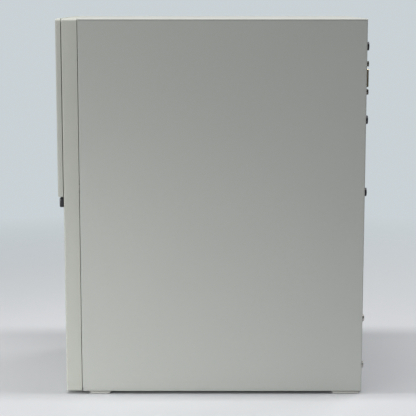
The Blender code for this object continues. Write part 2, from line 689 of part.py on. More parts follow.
def fan_frame(name, plane, centre, half, start, end, strut_side):
    """A square frame with a round bore and a hub plate on four struts at one end."""
    first, second = centre
    corners = rectangle((first - half, second - half), (first + half, second + half))
    frame = link(name, plate_mesh(plane, corners, start, end, (circle(centre, half - 0.002, 32),)), "black")
    strut, hub = 0.0022, half * 0.38
    plates = [circle(centre, hub, 16)]
    reach = half - 0.001
    plates.append(rectangle((first - reach, second - strut), (first + reach, second + strut)))
    plates.append(rectangle((first - strut, second - reach), (first + strut, second + reach)))
    low, high = (start, start + 0.0018) if strut_side == "start" else (end - 0.0018, end)
    inset = 0.0001
    for index, outline in enumerate(plates):
        shrink = inset * (index + 1)
        combine(frame, plate_mesh(plane, outline, low + shrink, high - shrink), "UNION")


def make_fans(cpu_pivot, rear_pivot, psu_pivot):
    fan_top = COOLER_TIP - GAP - CPU_FAN_DEPTH
    fan_frame("cpu_fan_frame", "YZ", (CPU_Y, CPU_Z), COOLER_HALF, fan_top, COOLER_TIP - GAP, "start")
    make_rotor("cpu_fan_rotor", cpu_pivot, 0.0365, 0.0150, 0.0095, "X")
    rear_end = REAR_INSIDE - GAP
    centre = (REAR_FAN_X, REAR_FAN_Z)
    fan_frame("rear_fan_frame", "XZ", centre, REAR_FAN_HALF, rear_end - REAR_FAN_DEPTH, rear_end, "start")
    make_rotor("rear_fan_rotor", rear_pivot, 0.0425, 0.0170, 0.0170, "Y")
    make_rotor("power_supply_fan_rotor", psu_pivot, 0.0280, 0.0110, 0.0110, "Y")


# The motherboard.


def make_motherboard():
    outline = rectangle((BOARD_FRONT, BOARD_BOTTOM), (BOARD_REAR, BOARD_TOP))
    holes = [circle(place, 0.0017, 8) for place in STANDOFF_PLACES]
    link("motherboard", plate_mesh("YZ", outline, BOARD_FACE, BOARD_FACE + BOARD_THICK, holes), "board")


def make_cpu_heatsink():
    """A base with level fins, cut from one outline and extruded along Z."""
    fins, gap = 12, 0.0040
    pitch = (2 * COOLER_HALF + gap) / fins
    root = COOLER_BASE - 0.006
    outline = [(COOLER_BASE, CPU_Y + COOLER_HALF), (COOLER_BASE, CPU_Y - COOLER_HALF)]
    for fin in range(fins):
        start = CPU_Y - COOLER_HALF + pitch * fin
        stop = start + pitch - gap
        outline += [(COOLER_TIP, start), (COOLER_TIP, stop)]
        if fin < fins - 1:
            outline += [(root, stop), (root, stop + gap)]
    mesh = plate_mesh("XY", outline, CPU_Z - COOLER_HALF, CPU_Z + COOLER_HALF)
    heatsink = link("cpu_heatsink", mesh, "aluminium")
    chip = 0.018
    chip_low = (COOLER_BASE - 0.001, CPU_Y - chip, CPU_Z - chip)
    combine(heatsink, box_mesh(chip_low, (BOARD_FACE - GAP, CPU_Y + chip, CPU_Z + chip)), "UNION")


def make_memory():
    top = MEMORY_BOTTOM + MEMORY_LENGTH
    for number, y in enumerate(MEMORY_Y, 1):
        tip = BOARD_FACE - SLOT_HEIGHT
        low = (tip, y - 0.0034, MEMORY_BOTTOM - 0.004)
        body = box_mesh(low, (BOARD_FACE - GAP, y + 0.0034, top + 0.0032))
        slot = link(f"memory_slot_{number}", body, "black")
        groove_low = (tip - 0.01, y - 0.0010, MEMORY_BOTTOM - GAP)
        combine(slot, box_mesh(groove_low, (BOARD_FACE - 0.0040, y + 0.0010, top + GAP)))
        stick_tip = BOARD_FACE - 0.0045 - 0.0310
        stick_low = (stick_tip, y - 0.0006, MEMORY_BOTTOM)
        link(f"memory_module_{number}", box_mesh(stick_low, (BOARD_FACE - 0.0045, y + 0.0006, top)), "board")


def latch_place(y):
    return (BOARD_FACE - 0.0030, y, MEMORY_BOTTOM + MEMORY_LENGTH + 0.0060)


def make_memory_latch(number, y, parent):
    """The lever at the slot's upper end. It leans out about a pin beside the board."""
    x, _, z = latch_place(y)
    low_z = MEMORY_BOTTOM + MEMORY_LENGTH + 0.0040
    outline = [(x + 0.0015, low_z), (x + 0.0015, low_z + 0.0045), (x - 0.0130, low_z + 0.0060)]
    outline += [(x - 0.0160, low_z + 0.0045), (x - 0.0160, low_z + 0.0015), (x - 0.0130, low_z)]
    half = LATCH_THICK / 2
    mesh = plate_mesh("XZ", outline, y - half, y + half)
    link(f"memory_latch_{number}", mesh, "bezel", origin=(x, y, z), parent=parent)


def make_io_shield():
    margin = 0.0005
    holes = []
    for low_x, low_z, high_x, high_z in PORT_OUTLINES.values():
        holes.append(rectangle((low_x - margin, low_z - margin), (high_x + margin, high_z + margin)))
    low = (SHIELD_LOW_X + GAP, SHIELD_LOW_Z + GAP)
    outline = rectangle(low, (SHIELD_HIGH_X - GAP, SHIELD_HIGH_Z - GAP))
    link("io_shield", plate_mesh("XZ", outline, REAR_FACE - 0.0006, REAR_FACE - 0.0001, holes), "steel")


def make_port(name, finish):
    low_x, low_z, high_x, high_z = PORT_OUTLINES[name]
    port = link(name, box_mesh((low_x, BOARD_REAR - 0.0140, low_z), (high_x, PORT_FACE, high_z)), finish)
    for x, z, half_x, half_z, depth in PORT_MOUTHS[name]:
        low = (x - half_x, PORT_FACE - depth, z - half_z)
        combine(port, box_mesh(low, (x + half_x, PORT_FACE + 0.01, z + half_z)))


def make_vga_port():
    """The D-sub socket: a body on the board and a flared shell that stands out of the case."""
    low_x, low_z, high_x, high_z = PORT_OUTLINES["vga_port"]
    body = box_mesh((low_x, BOARD_REAR - 0.0100, low_z), (high_x, PORT_FACE, high_z))
    port = link("vga_port", body, "black")
    narrow, wide, half = 0.0072, 0.0082, 0.0040
    outline = [(VGA_X + half, VGA_Z - wide), (VGA_X + half, VGA_Z + wide)]
    outline += [(VGA_X - half, VGA_Z + narrow), (VGA_X - half, VGA_Z - narrow)]
    combine(port, plate_mesh("XZ", outline, PORT_FACE - 0.002, VGA_TIP), "UNION")
    mouth = [(VGA_X + (x - VGA_X) * 0.86, VGA_Z + (z - VGA_Z) * 0.94) for x, z in outline]
    combine(port, plate_mesh("XZ", mouth, PORT_FACE - 0.001, VGA_TIP + 0.001))
    for z in (VGA_Z - JACKSCREW_PITCH / 2, VGA_Z + JACKSCREW_PITCH / 2):
        combine(port, plate_mesh("XZ", circle((VGA_X, z), 0.0018, 8), PORT_FACE - 0.006, PORT_FACE + 0.005))


def make_jackscrews():
    for place, z in (("lower", VGA_Z - JACKSCREW_PITCH / 2), ("upper", VGA_Z + JACKSCREW_PITCH / 2)):
        head = plate_mesh("XZ", circle((VGA_X, z), 0.00275, 6), PORT_FACE + GAP, REAR_EDGE + REAR_PROUD)
        screw = link(f"vga_jackscrew_{place}", head, "steel")
        shank = plate_mesh("XZ", circle((VGA_X, z), 0.0014, 8), PORT_FACE - 0.005, PORT_FACE + 0.001)
        combine(screw, shank, "UNION")


def make_slot_covers():
    """Blank brackets inside the rear wall, each with a tab bent forward at its outer end."""
    plate_rear = REAR_INSIDE - GAP
    plate_front = plate_rear - SHEET
    end, start = SLOT_COVER
    tab_front = plate_rear - 0.0110
    outline = [(start, plate_front), (start, plate_rear), (end, plate_rear), (end, tab_front)]
    outline += [(end + SHEET, tab_front), (end + SHEET, plate_front)]
    for number, centre in enumerate(SLOT_CENTRES, 1):
        mesh = plate_mesh("XY", outline, centre - COVER_HALF, centre + COVER_HALF)
        link(f"slot_cover_{number}", mesh, "steel")


def make_slot_latch(parent):
    """The bar over the slot covers' tabs. It swings out about an upright pin behind them."""
    x, y = LATCH_AXIS
    near = SLOT_COVER[0] - GAP
    outline = [(near, y - 0.0080), (near, y + 0.0013), (x + 0.0015, y + 0.0035), (x - 0.0025, y + 0.0035)]
    outline += [(x - 0.0025, y - 0.0020), (near - 0.0020, y - 0.0100)]
    low = SLOT_CENTRES[-1] - COVER_HALF - 0.002
    high = SLOT_CENTRES[0] + COVER_HALF + 0.002
    mesh = plate_mesh("XY", outline, low, high)
    link("slot_latch", mesh, "dark", origin=(x, y, (low + high) / 2), parent=parent)


# Fasteners.


def screw_mesh(x, z, radius, domed):
    """A turned head and shank along Y, seated on a side panel's flange."""
    shape = bmesh.new()
    seat, height = REAR_EDGE + GAP, SCREW_HEIGHT
    tip = seat - SCREW_REACH
    profile = [(0, tip), (SCREW_SHANK, tip), (SCREW_SHANK, seat), (radius, seat)]
    if domed:
        profile += [(radius * cos(a), seat + height * (0.25 + 0.75 * sin(a))) for a in (0, pi / 6, pi / 3)]
    else:
        profile += [(radius, seat + height * 0.75), (radius * 0.9, seat + height)]
    profile.append((0, seat + height))
    points = [shape.verts.new((x + r, level, z)) for r, level in profile]
    edges = [shape.edges.new(pair) for pair in zip(points, points[1:])]
    spun = {"cent": (x, 0, z), "axis": (0, 1, 0), "angle": 2 * pi, "steps": 12}
    bmesh.ops.spin(shape, geom=points + edges, use_merge=True, **spun)
    bmesh.ops.remove_doubles(shape, verts=shape.verts[:], dist=1e-6)
    return finished(shape)


def make_fixed_screws():
    link("side_panel_screw", screw_mesh(*SIDE_SCREW, FLAT_RADIUS, False), "black", smooth=True)
    for place, centre in zip(("lower", "upper"), CASE_SCREWS):
        link(f"case_screw_{place}", screw_mesh(*centre, DOME_RADIUS, True), "steel", smooth=True)


def make_panel_screw(place, z, parent):
    mesh = screw_mesh(PANEL_SCREW_X, z, FLAT_RADIUS, False)
    origin = (PANEL_SCREW_X, REAR_EDGE, z)
    link(f"panel_screw_{place}", mesh, "black", origin=origin, parent=parent, smooth=True)


# Cables that the case holds all the way.


def make_cable(name, points, radius):
    """A tube through a few chosen points, on a smooth curve sampled every few diameters."""
    samples = 6
    route = [Vector(point) for point in points]
    ends = [route[0] * 2 - route[1], *route, route[-1] * 2 - route[-2]]
    smooth_route = []
    for a, b, c, d in zip(ends, ends[1:], ends[2:], ends[3:]):
        for step in range(samples):
            t = step / samples
            bend, twist = 2 * a - 5 * b + 4 * c - d, 3 * b - a - 3 * c + d
            smooth_route.append((2 * b + (c - a) * t + bend * t**2 + twist * t**3) / 2)
    smooth_route.append(route[-1])
    curve = bpy.data.curves.new(name, "CURVE")
    curve.dimensions = "3D"
    curve.bevel_depth = radius
    curve.bevel_resolution = 2
    curve.resolution_u = 1
    curve.render_resolution_u = 0
    curve.use_fill_caps = True
    line = curve.splines.new("POLY")
    line.points.add(len(smooth_route) - 1)
    for point, place in zip(line.points, smooth_route):
        point.co = (*place, 1.0)
    curve.materials.append(material(f"{name}_black", *FINISHES["black"]))
    made = bpy.data.objects.new(name, curve)
    bpy.context.scene.collection.objects.link(made)


def make_root():
    make_feet()
    make_bottom_pan()
    make_top_cover()
    make_right_side_panel()
    make_front_wall()
    make_rear_wall()
    make_board_tray()
    make_optical_cage()
    make_optical_drive()
    make_hard_drive()
    make_hard_drive_cage()
    make_power_supply()
    make_power_inlet()
    make_motherboard()
    make_cpu_heatsink()
    make_memory()
    make_io_shield()
    make_vga_port()
    make_jackscrews()
    for name in PORT_MOUTHS:
        make_port(name, "black" if name == "audio_ports" else "steel")
    make_slot_covers()
    make_front_io_board()
    make_fixed_screws()
    for name, (radius, points) in CABLES.items():
        make_cable(name, points, radius)


def make_moving_bodies():
    bezel = pivot("bezel_pivot", (0, 0, 0))
    make_front_bezel(bezel)
    make_upper_fascia(bezel)
    make_io_strip(bezel)
    make_status_lens(bezel)
    make_power_button(pivot("button_pivot", (0, 0, 0), bezel))
    tray = pivot("tray_pivot", (0, 0, 0))
    make_optical_tray(tray)
    make_tray_face(tray)
    make_eject_button(pivot("eject_pivot", (0, 0, 0), tray))
    make_disc_hub(pivot("hub_pivot", (0, DISC_Y, 0), tray))
    panel = pivot("panel_pivot", (0, 0, 0))
    make_access_panel(panel)
    for place, z in zip(("lower", "upper"), PANEL_SCREW_Z):
        make_panel_screw(place, z, pivot(f"panel_screw_{place}_pivot", (PANEL_SCREW_X, REAR_EDGE, z), panel))
    make_slot_latch(pivot("slot_latch_pivot", (*LATCH_AXIS, SLOT_CENTRES[1])))
    for number, y in enumerate(MEMORY_Y, 1):
        make_memory_latch(number, y, pivot(f"memory_latch_{number}_pivot", latch_place(y)))
    cpu_x = COOLER_TIP - GAP - CPU_FAN_DEPTH / 2 + 0.0008
    cpu_pivot = pivot("cpu_fan_pivot", (cpu_x, CPU_Y, CPU_Z))
    rear_y = REAR_INSIDE - GAP - REAR_FAN_DEPTH / 2 + 0.0010
    rear_pivot = pivot("rear_fan_pivot", (REAR_FAN_X, rear_y, REAR_FAN_Z))
    psu_pivot = pivot("power_supply_fan_pivot", (PSU_FAN_X, PSU_REAR - 0.0110, PSU_FAN_Z))
    make_fans(cpu_pivot, rear_pivot, psu_pivot)


clear_scene()
make_root()
make_moving_bodies()
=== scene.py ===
"""The looks of the desktop computer tower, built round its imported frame.

Metres, +Z up. The front faces -Y, the plain side panel +X and the access panel -X.
"""

from math import cos, pi, radians, sin, sqrt

import bmesh
import bpy
from mathutils import Matrix, Vector


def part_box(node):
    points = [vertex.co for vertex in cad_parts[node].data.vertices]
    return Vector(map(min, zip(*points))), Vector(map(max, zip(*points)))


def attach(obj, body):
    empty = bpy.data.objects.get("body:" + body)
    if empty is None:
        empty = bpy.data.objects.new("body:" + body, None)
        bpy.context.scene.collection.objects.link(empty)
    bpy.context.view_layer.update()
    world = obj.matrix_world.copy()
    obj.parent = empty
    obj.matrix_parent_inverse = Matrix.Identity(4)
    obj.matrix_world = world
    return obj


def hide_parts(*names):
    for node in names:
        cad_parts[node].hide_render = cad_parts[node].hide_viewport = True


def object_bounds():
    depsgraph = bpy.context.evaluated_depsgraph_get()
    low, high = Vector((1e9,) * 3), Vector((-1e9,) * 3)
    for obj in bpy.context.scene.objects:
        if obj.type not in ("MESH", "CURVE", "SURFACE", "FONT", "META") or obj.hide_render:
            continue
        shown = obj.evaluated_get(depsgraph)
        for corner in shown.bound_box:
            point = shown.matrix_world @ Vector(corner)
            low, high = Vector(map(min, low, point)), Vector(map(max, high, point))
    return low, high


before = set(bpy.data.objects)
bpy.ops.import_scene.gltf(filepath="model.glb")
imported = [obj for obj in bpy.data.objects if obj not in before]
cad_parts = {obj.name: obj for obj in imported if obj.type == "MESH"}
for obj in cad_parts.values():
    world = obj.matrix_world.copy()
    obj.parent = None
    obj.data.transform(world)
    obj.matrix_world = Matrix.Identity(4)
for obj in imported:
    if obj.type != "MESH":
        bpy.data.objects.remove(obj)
CAD_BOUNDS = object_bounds()
LOW, HIGH = (Vector(corner) for corner in CAD_BOUNDS)

# Places taken from the frame.
SHELL_LOW, SHELL_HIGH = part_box("right_side_panel")
BEZEL_LOW, BEZEL_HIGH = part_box("front_bezel")
FASCIA_LOW, FASCIA_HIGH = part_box("upper_fascia")
STRIP_LOW, STRIP_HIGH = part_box("io_strip")
SHEET = 0.0008
SIDE = SHELL_HIGH.x
REAR = SHELL_HIGH.y
WALL_LOW, WALL_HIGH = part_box("rear_wall")
WALL_FACE = WALL_HIGH.y
BOARD_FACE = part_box("motherboard")[0].x


def mid(node):
    """The middle of a CAD node's box."""
    low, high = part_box(node)
    return (low + high) / 2


# Materials.


class Finish:
    """A Principled material whose colour, roughness and bump come from a few procedural textures."""

    def __init__(self, name, colour, roughness, metallic=0.0, **sockets):
        self.material = bpy.data.materials.new(name)
        self.material.use_nodes = True
        self.tree = self.material.node_tree
        self.shader = self.tree.nodes["Principled BSDF"]
        self.place = self.node("ShaderNodeTexCoord").outputs["Object"]
        self.set("Base Color", (*colour, 1.0))
        self.set("Roughness", roughness)
        self.set("Metallic", metallic)
        self.material.diffuse_color = (*colour, 1.0)
        for socket, value in sockets.items():
            self.set(socket.replace("_", " ").title().replace("Ior", "IOR"), value)
        self.colour = colour
        self.height = None

    def node(self, kind, **values):
        made = self.tree.nodes.new(kind)
        for key, value in values.items():
            setattr(made, key, value)
        return made

    def set(self, socket, value):
        self.shader.inputs[socket].default_value = value

    def link(self, start, end):
        self.tree.links.new(start, end)

    def stretched(self, scale):
        """The place, scaled differently along each axis, for grain and brushing."""
        mapping = self.node("ShaderNodeMapping")
        mapping.inputs["Scale"].default_value = scale
        self.link(self.place, mapping.inputs["Vector"])
        return mapping.outputs["Vector"]

    def noise(self, scale, detail=2.0, stretch=None, rough=0.5):
        texture = self.node("ShaderNodeTexNoise")
        texture.inputs["Scale"].default_value = scale
        texture.inputs["Detail"].default_value = detail
        texture.inputs["Roughness"].default_value = rough
        self.link(self.stretched(stretch) if stretch else self.place, texture.inputs["Vector"])
        return texture.outputs["Fac"]

    def cells(self, scale, feature="F1", output="Color"):
        texture = self.node("ShaderNodeTexVoronoi", feature=feature)
        texture.inputs["Scale"].default_value = scale
        self.link(self.place, texture.inputs["Vector"])
        return texture.outputs[output]

    def range(self, value, from_low, from_high, low, high):
        mapped = self.node("ShaderNodeMapRange")
        for socket, number in zip(
            ("From Min", "From Max", "To Min", "To Max"), (from_low, from_high, low, high)
        ):
            mapped.inputs[socket].default_value = number
        self.link(value, mapped.inputs["Value"])
        return mapped.outputs["Result"]

    def tint(self, factor, other):
        """The colour mixed with another one by a texture."""
        mix = self.node("ShaderNodeMix", data_type="RGBA")
        source = self.shader.inputs["Base Color"]
        if source.is_linked:
            self.link(source.links[0].from_socket, mix.inputs["A"])
        else:
            mix.inputs["A"].default_value = (*self.colour, 1.0)
        mix.inputs["B"].default_value = (*other, 1.0)
        self.link(factor, mix.inputs["Factor"])
        self.link(mix.outputs["Result"], source)
        return self

    def mottle(self, scale, amount, detail=3.0):
        """Slow light and dark variation over the surface."""
        factor = self.range(self.noise(scale, detail), 0.35, 0.65, 0.0, 1.0)
        return self.tint(factor, tuple(channel * (1.0 - amount) for channel in self.colour))

    def wear(self, roughness_low, roughness_high, scale=40.0):
        self.link(
            self.range(self.noise(scale, 4.0), 0.3, 0.7, roughness_low, roughness_high),
            self.shader.inputs["Roughness"]
        )
        return self

    def bump(self, height, distance, strength=1.0):
        bump = self.node("ShaderNodeBump")
        bump.inputs["Distance"].default_value = distance
        bump.inputs["Strength"].default_value = strength
        self.link(height, bump.inputs["Height"])
        if self.height:
            self.link(self.height, bump.inputs["Normal"])
        self.height = bump.outputs["Normal"]
        self.link(self.height, self.shader.inputs["Normal"])
        return self


# Small parts' finishes: colour, roughness and metallic value.
SMALL_FINISHES = {
    "groove_shadow": ((0.27, 0.27, 0.24), 0.70, 0.0),
    "button_plastic": ((0.40, 0.40, 0.37), 0.42, 0.0),
    "plated_steel": ((0.58, 0.56, 0.52), 0.28, 1.0),
    "nickel": ((0.46, 0.45, 0.42), 0.26, 1.0),
    "black_oxide": ((0.050, 0.048, 0.055), 0.34, 0.8),
    # painted shade: the VGA nuts' nickel is darkened nearly to black to stand for the shade they sit in
    "shade_darkened_nickel": ((0.105, 0.095, 0.085), 0.34, 1.0),
    # painted shade: the VGA shell's steel is darkened, with a brown cast, to stand for the shaded, tan-lit
    # look at the rear
    "shade_darkened_steel": ((0.30, 0.245, 0.165), 0.36, 1.0),
    "gold": ((0.83, 0.62, 0.26), 0.25, 1.0),
    "solder": ((0.62, 0.63, 0.64), 0.35, 1.0),
    "chip_black": ((0.020, 0.020, 0.022), 0.55, 0.0),
    "fan_black": ((0.016, 0.016, 0.017), 0.42, 0.0),
    "cable_black": ((0.018, 0.018, 0.019), 0.50, 0.0),
    "connector_white": ((0.72, 0.70, 0.64), 0.45, 0.0),
    "latch_white": ((0.66, 0.66, 0.62), 0.40, 0.0),
    "retainer_blue": ((0.020, 0.085, 0.28), 0.38, 0.0),
    "port_blue": ((0.025, 0.070, 0.30), 0.42, 0.0),
    "jack_blue": ((0.15, 0.42, 0.70), 0.40, 0.0),
    "jack_green": ((0.28, 0.60, 0.20), 0.40, 0.0),
    "jack_pink": ((0.80, 0.34, 0.44), 0.40, 0.0),
    "wire_red": ((0.55, 0.020, 0.015), 0.45, 0.0),
    "wire_yellow": ((0.75, 0.52, 0.020), 0.45, 0.0),
    "wire_orange": ((0.78, 0.22, 0.020), 0.45, 0.0),
    "wire_white": ((0.70, 0.70, 0.68), 0.45, 0.0),
    "ferrite": ((0.085, 0.088, 0.090), 0.50, 0.0),
    "ceramic": ((0.42, 0.33, 0.22), 0.50, 0.0),
    "grommet": ((0.025, 0.025, 0.026), 0.75, 0.0),
    "label_paper": ((0.78, 0.78, 0.76), 0.60, 0.0),
}


def make_finishes():
    made = {}

    def add(name, *values, **sockets):
        made[name] = Finish(name, *values, **sockets)
        return made[name]

    paint = add("powder_coat", (0.497, 0.512, 0.480), 0.50, specular_ior_level=0.45)
    paint.mottle(9.0, 0.035).mottle(260.0, 0.02, 1.0).wear(0.44, 0.54, 30.0)
    paint.bump(paint.noise(1500.0, 2.0), 0.00004, 0.5).bump(paint.noise(14.0, 1.0), 0.0006, 0.05)
    bezel = add("bezel_plastic", (0.512, 0.526, 0.474), 0.52, specular_ior_level=0.4)
    bezel.mottle(12.0, 0.03).mottle(400.0, 0.025, 1.0).wear(0.46, 0.56, 50.0)
    bezel.bump(bezel.noise(2600.0, 1.0), 0.00003, 0.6)
    dark = add("dark_plastic", (0.022, 0.024, 0.028), 0.28, coat_weight=0.15)
    dark.mottle(60.0, 0.25).wear(0.24, 0.36, 90.0).bump(dark.noise(2200.0, 1.0), 0.00002, 0.4)
    feet = add("foot_plastic", (0.52, 0.52, 0.49), 0.62)
    feet.mottle(50.0, 0.08).wear(0.55, 0.7, 120.0).bump(feet.noise(1800.0, 2.0), 0.00004, 0.5)
    zinc = add("zinc_steel", (0.56, 0.57, 0.58), 0.38, 1.0)
    spangle = zinc.range(zinc.cells(160.0), 0.0, 1.0, 0.0, 1.0)
    zinc.tint(spangle, (0.60, 0.61, 0.615)).wear(0.32, 0.44, 160.0).bump(zinc.noise(500.0, 3.0), 0.00003, 0.3)
    lens = add("lens", (0.62, 0.78, 0.88), 0.12, transmission_weight=0.5, ior=1.49)
    lens.mottle(300.0, 0.1)
    for name, (colour, roughness, metallic) in SMALL_FINISHES.items():
        small = add(name, colour, roughness, metallic)
        small.mottle(150.0, 0.12).wear(roughness * 0.8, roughness * 1.25, 200.0)
        small.bump(small.noise(2000.0, 1.0), 0.00002, 0.45)
    brushed = add("brushed_aluminium", (0.68, 0.69, 0.70), 0.32, 1.0)
    brushed.mottle(60.0, 0.06).wear(0.26, 0.42, 150.0)
    brushed.bump(brushed.noise(400.0, 3.0, (1, 1, 0.03)), 0.00003, 0.35)
    cast = add("cast_aluminium", (0.44, 0.45, 0.46), 0.48, 1.0)
    cast.mottle(80.0, 0.12).wear(0.40, 0.58, 160.0).bump(cast.noise(1300.0, 3.0), 0.00006, 0.5)
    board = add("circuit_board", (0.020, 0.105, 0.052), 0.38, coat_weight=0.25)
    lanes = board.range(board.cells(190.0, "DISTANCE_TO_EDGE", "Distance"), 0.03, 0.06, 1.0, 0.0)
    board.tint(lanes, (0.035, 0.165, 0.080)).mottle(700.0, 0.25, 1.0).wear(0.30, 0.48, 200.0)
    return made


FINISHES = make_finishes()


# Shapes.

# A flat outline's two axes and the axis across it.
PLANES = {"YZ": (1, 2, 0), "XZ": (0, 2, 1), "XY": (0, 1, 2)}


def rectangle(low, high):
    return [(low[0], low[1]), (high[0], low[1]), (high[0], high[1]), (low[0], high[1])]


def arc(centre, radius, start, stop, steps):
    angles = [radians(start + (stop - start) * step / steps) for step in range(steps + 1)]
    return [(centre[0] + radius * cos(angle), centre[1] + radius * sin(angle)) for angle in angles]


def circle(centre, radius, steps=24, phase=0.0):
    return arc(centre, radius, phase, phase + 360.0, steps)[:-1]


def rounded(low, high, radius, steps=4):
    """A rectangle with round corners."""
    points = []
    corners = ((high[0], high[1], 0), (low[0], high[1], 90), (low[0], low[1], 180), (high[0], low[1], 270))
    for x, y, start in corners:
        middle = (x - radius if x == high[0] else x + radius, y - radius if y == high[1] else y + radius)
        points += arc(middle, radius, start, start + 90, steps)
    return points


def eased(outline, radius, steps=3):
    """An outline with its corners rounded off."""
    points = []
    for index, corner in enumerate(outline):
        corner = Vector(corner)
        before, after = Vector(outline[index - 1]), Vector(outline[(index + 1) % len(outline)])
        start = corner + (before - corner).normalized() * radius
        stop = corner + (after - corner).normalized() * radius
        for step in range(steps + 1):
            t = step / steps
            points.append(tuple(start * (1 - t) ** 2 + corner * 2 * t * (1 - t) + stop * t * t))
    return points


def cross_outline(reach, half):
    """A cross-head screw's recess."""
    points = []
    for quarter in range(4):
        turn = radians(90 * quarter)
        for x, y in ((reach, -half), (reach, half), (half, half)):
            points.append((x * cos(turn) - y * sin(turn), x * sin(turn) + y * cos(turn)))
    return points


def hexagons(centre, radius, pitch, size):
    """Hexagonal holes in staggered rows that fill a circle."""
    cells = []
    rise = pitch * sqrt(3) / 2
    rows = int(radius / rise)
    count = int(radius / pitch) + 1
    for row in range(-rows, rows + 1):
        shift = pitch / 2 if row % 2 else 0.0
        for column in range(-count, count + 1):
            x, z = column * pitch + shift, row * rise
            if x * x + z * z <= (radius - size) ** 2:
                cells.append(circle((centre[0] + x, centre[1] + z), size, 6, 30.0))
    return cells


def facing(place, forward, right):
    """A frame whose +Z points forward and whose +X points right, standing at a place."""
    forward, right = Vector(forward), Vector(right)
    up = forward.cross(right)
    turn = Matrix((right, up, forward)).transposed().to_4x4()
    return Matrix.Translation(place) @ turn


def strip_outline(path, thickness):
    """The outline of a bent strip of sheet, from its outer face as a path. The sheet lies to its left."""
    inner = []
    for index, point in enumerate(path):
        before = Vector(path[max(index - 1, 0)])
        after = Vector(path[min(index + 1, len(path) - 1)])
        arriving = (Vector(point) - before).normalized() if index else (after - Vector(point)).normalized()
        leaving = (after - Vector(point)).normalized() if index < len(path) - 1 else arriving
        across = Vector((-arriving.y - leaving.y, arriving.x + leaving.x)).normalized()
        grow = 1.0 / max(0.3, sqrt((1.0 + arriving.dot(leaving)) / 2.0))
        inner.append(tuple(Vector(point) + across * thickness * grow))
    return list(path) + inner[::-1]


def eased_route(points, steps=8):
    """A smooth path through points."""
    route = [Vector(point) for point in points]
    padded = [route[0] * 2 - route[1], *route, route[-1] * 2 - route[-2]]
    path = []
    for a, b, c, d in zip(padded, padded[1:], padded[2:], padded[3:]):
        for step in range(steps):
            t = step / steps
            bend = (a * 2 - b * 5 + c * 4 - d) * t**2 + (b * 3 - a - c * 3 + d) * t**3
            path.append((b * 2 + (c - a) * t + bend) * 0.5)
    return [*path, route[-1]]


def bridge(part, near, far):
    for index, vert in enumerate(near):
        after = (index + 1) % len(near)
        part.faces.new((vert, near[after], far[after], far[index]))


def ring_edges(part, ring):
    """The edges of a closed ring of vertices, made where they are missing."""
    edges = []
    for index, vert in enumerate(ring):
        pair = (vert, ring[(index + 1) % len(ring)])
        edges.append(part.edges.get(pair) or part.edges.new(pair))
    return edges


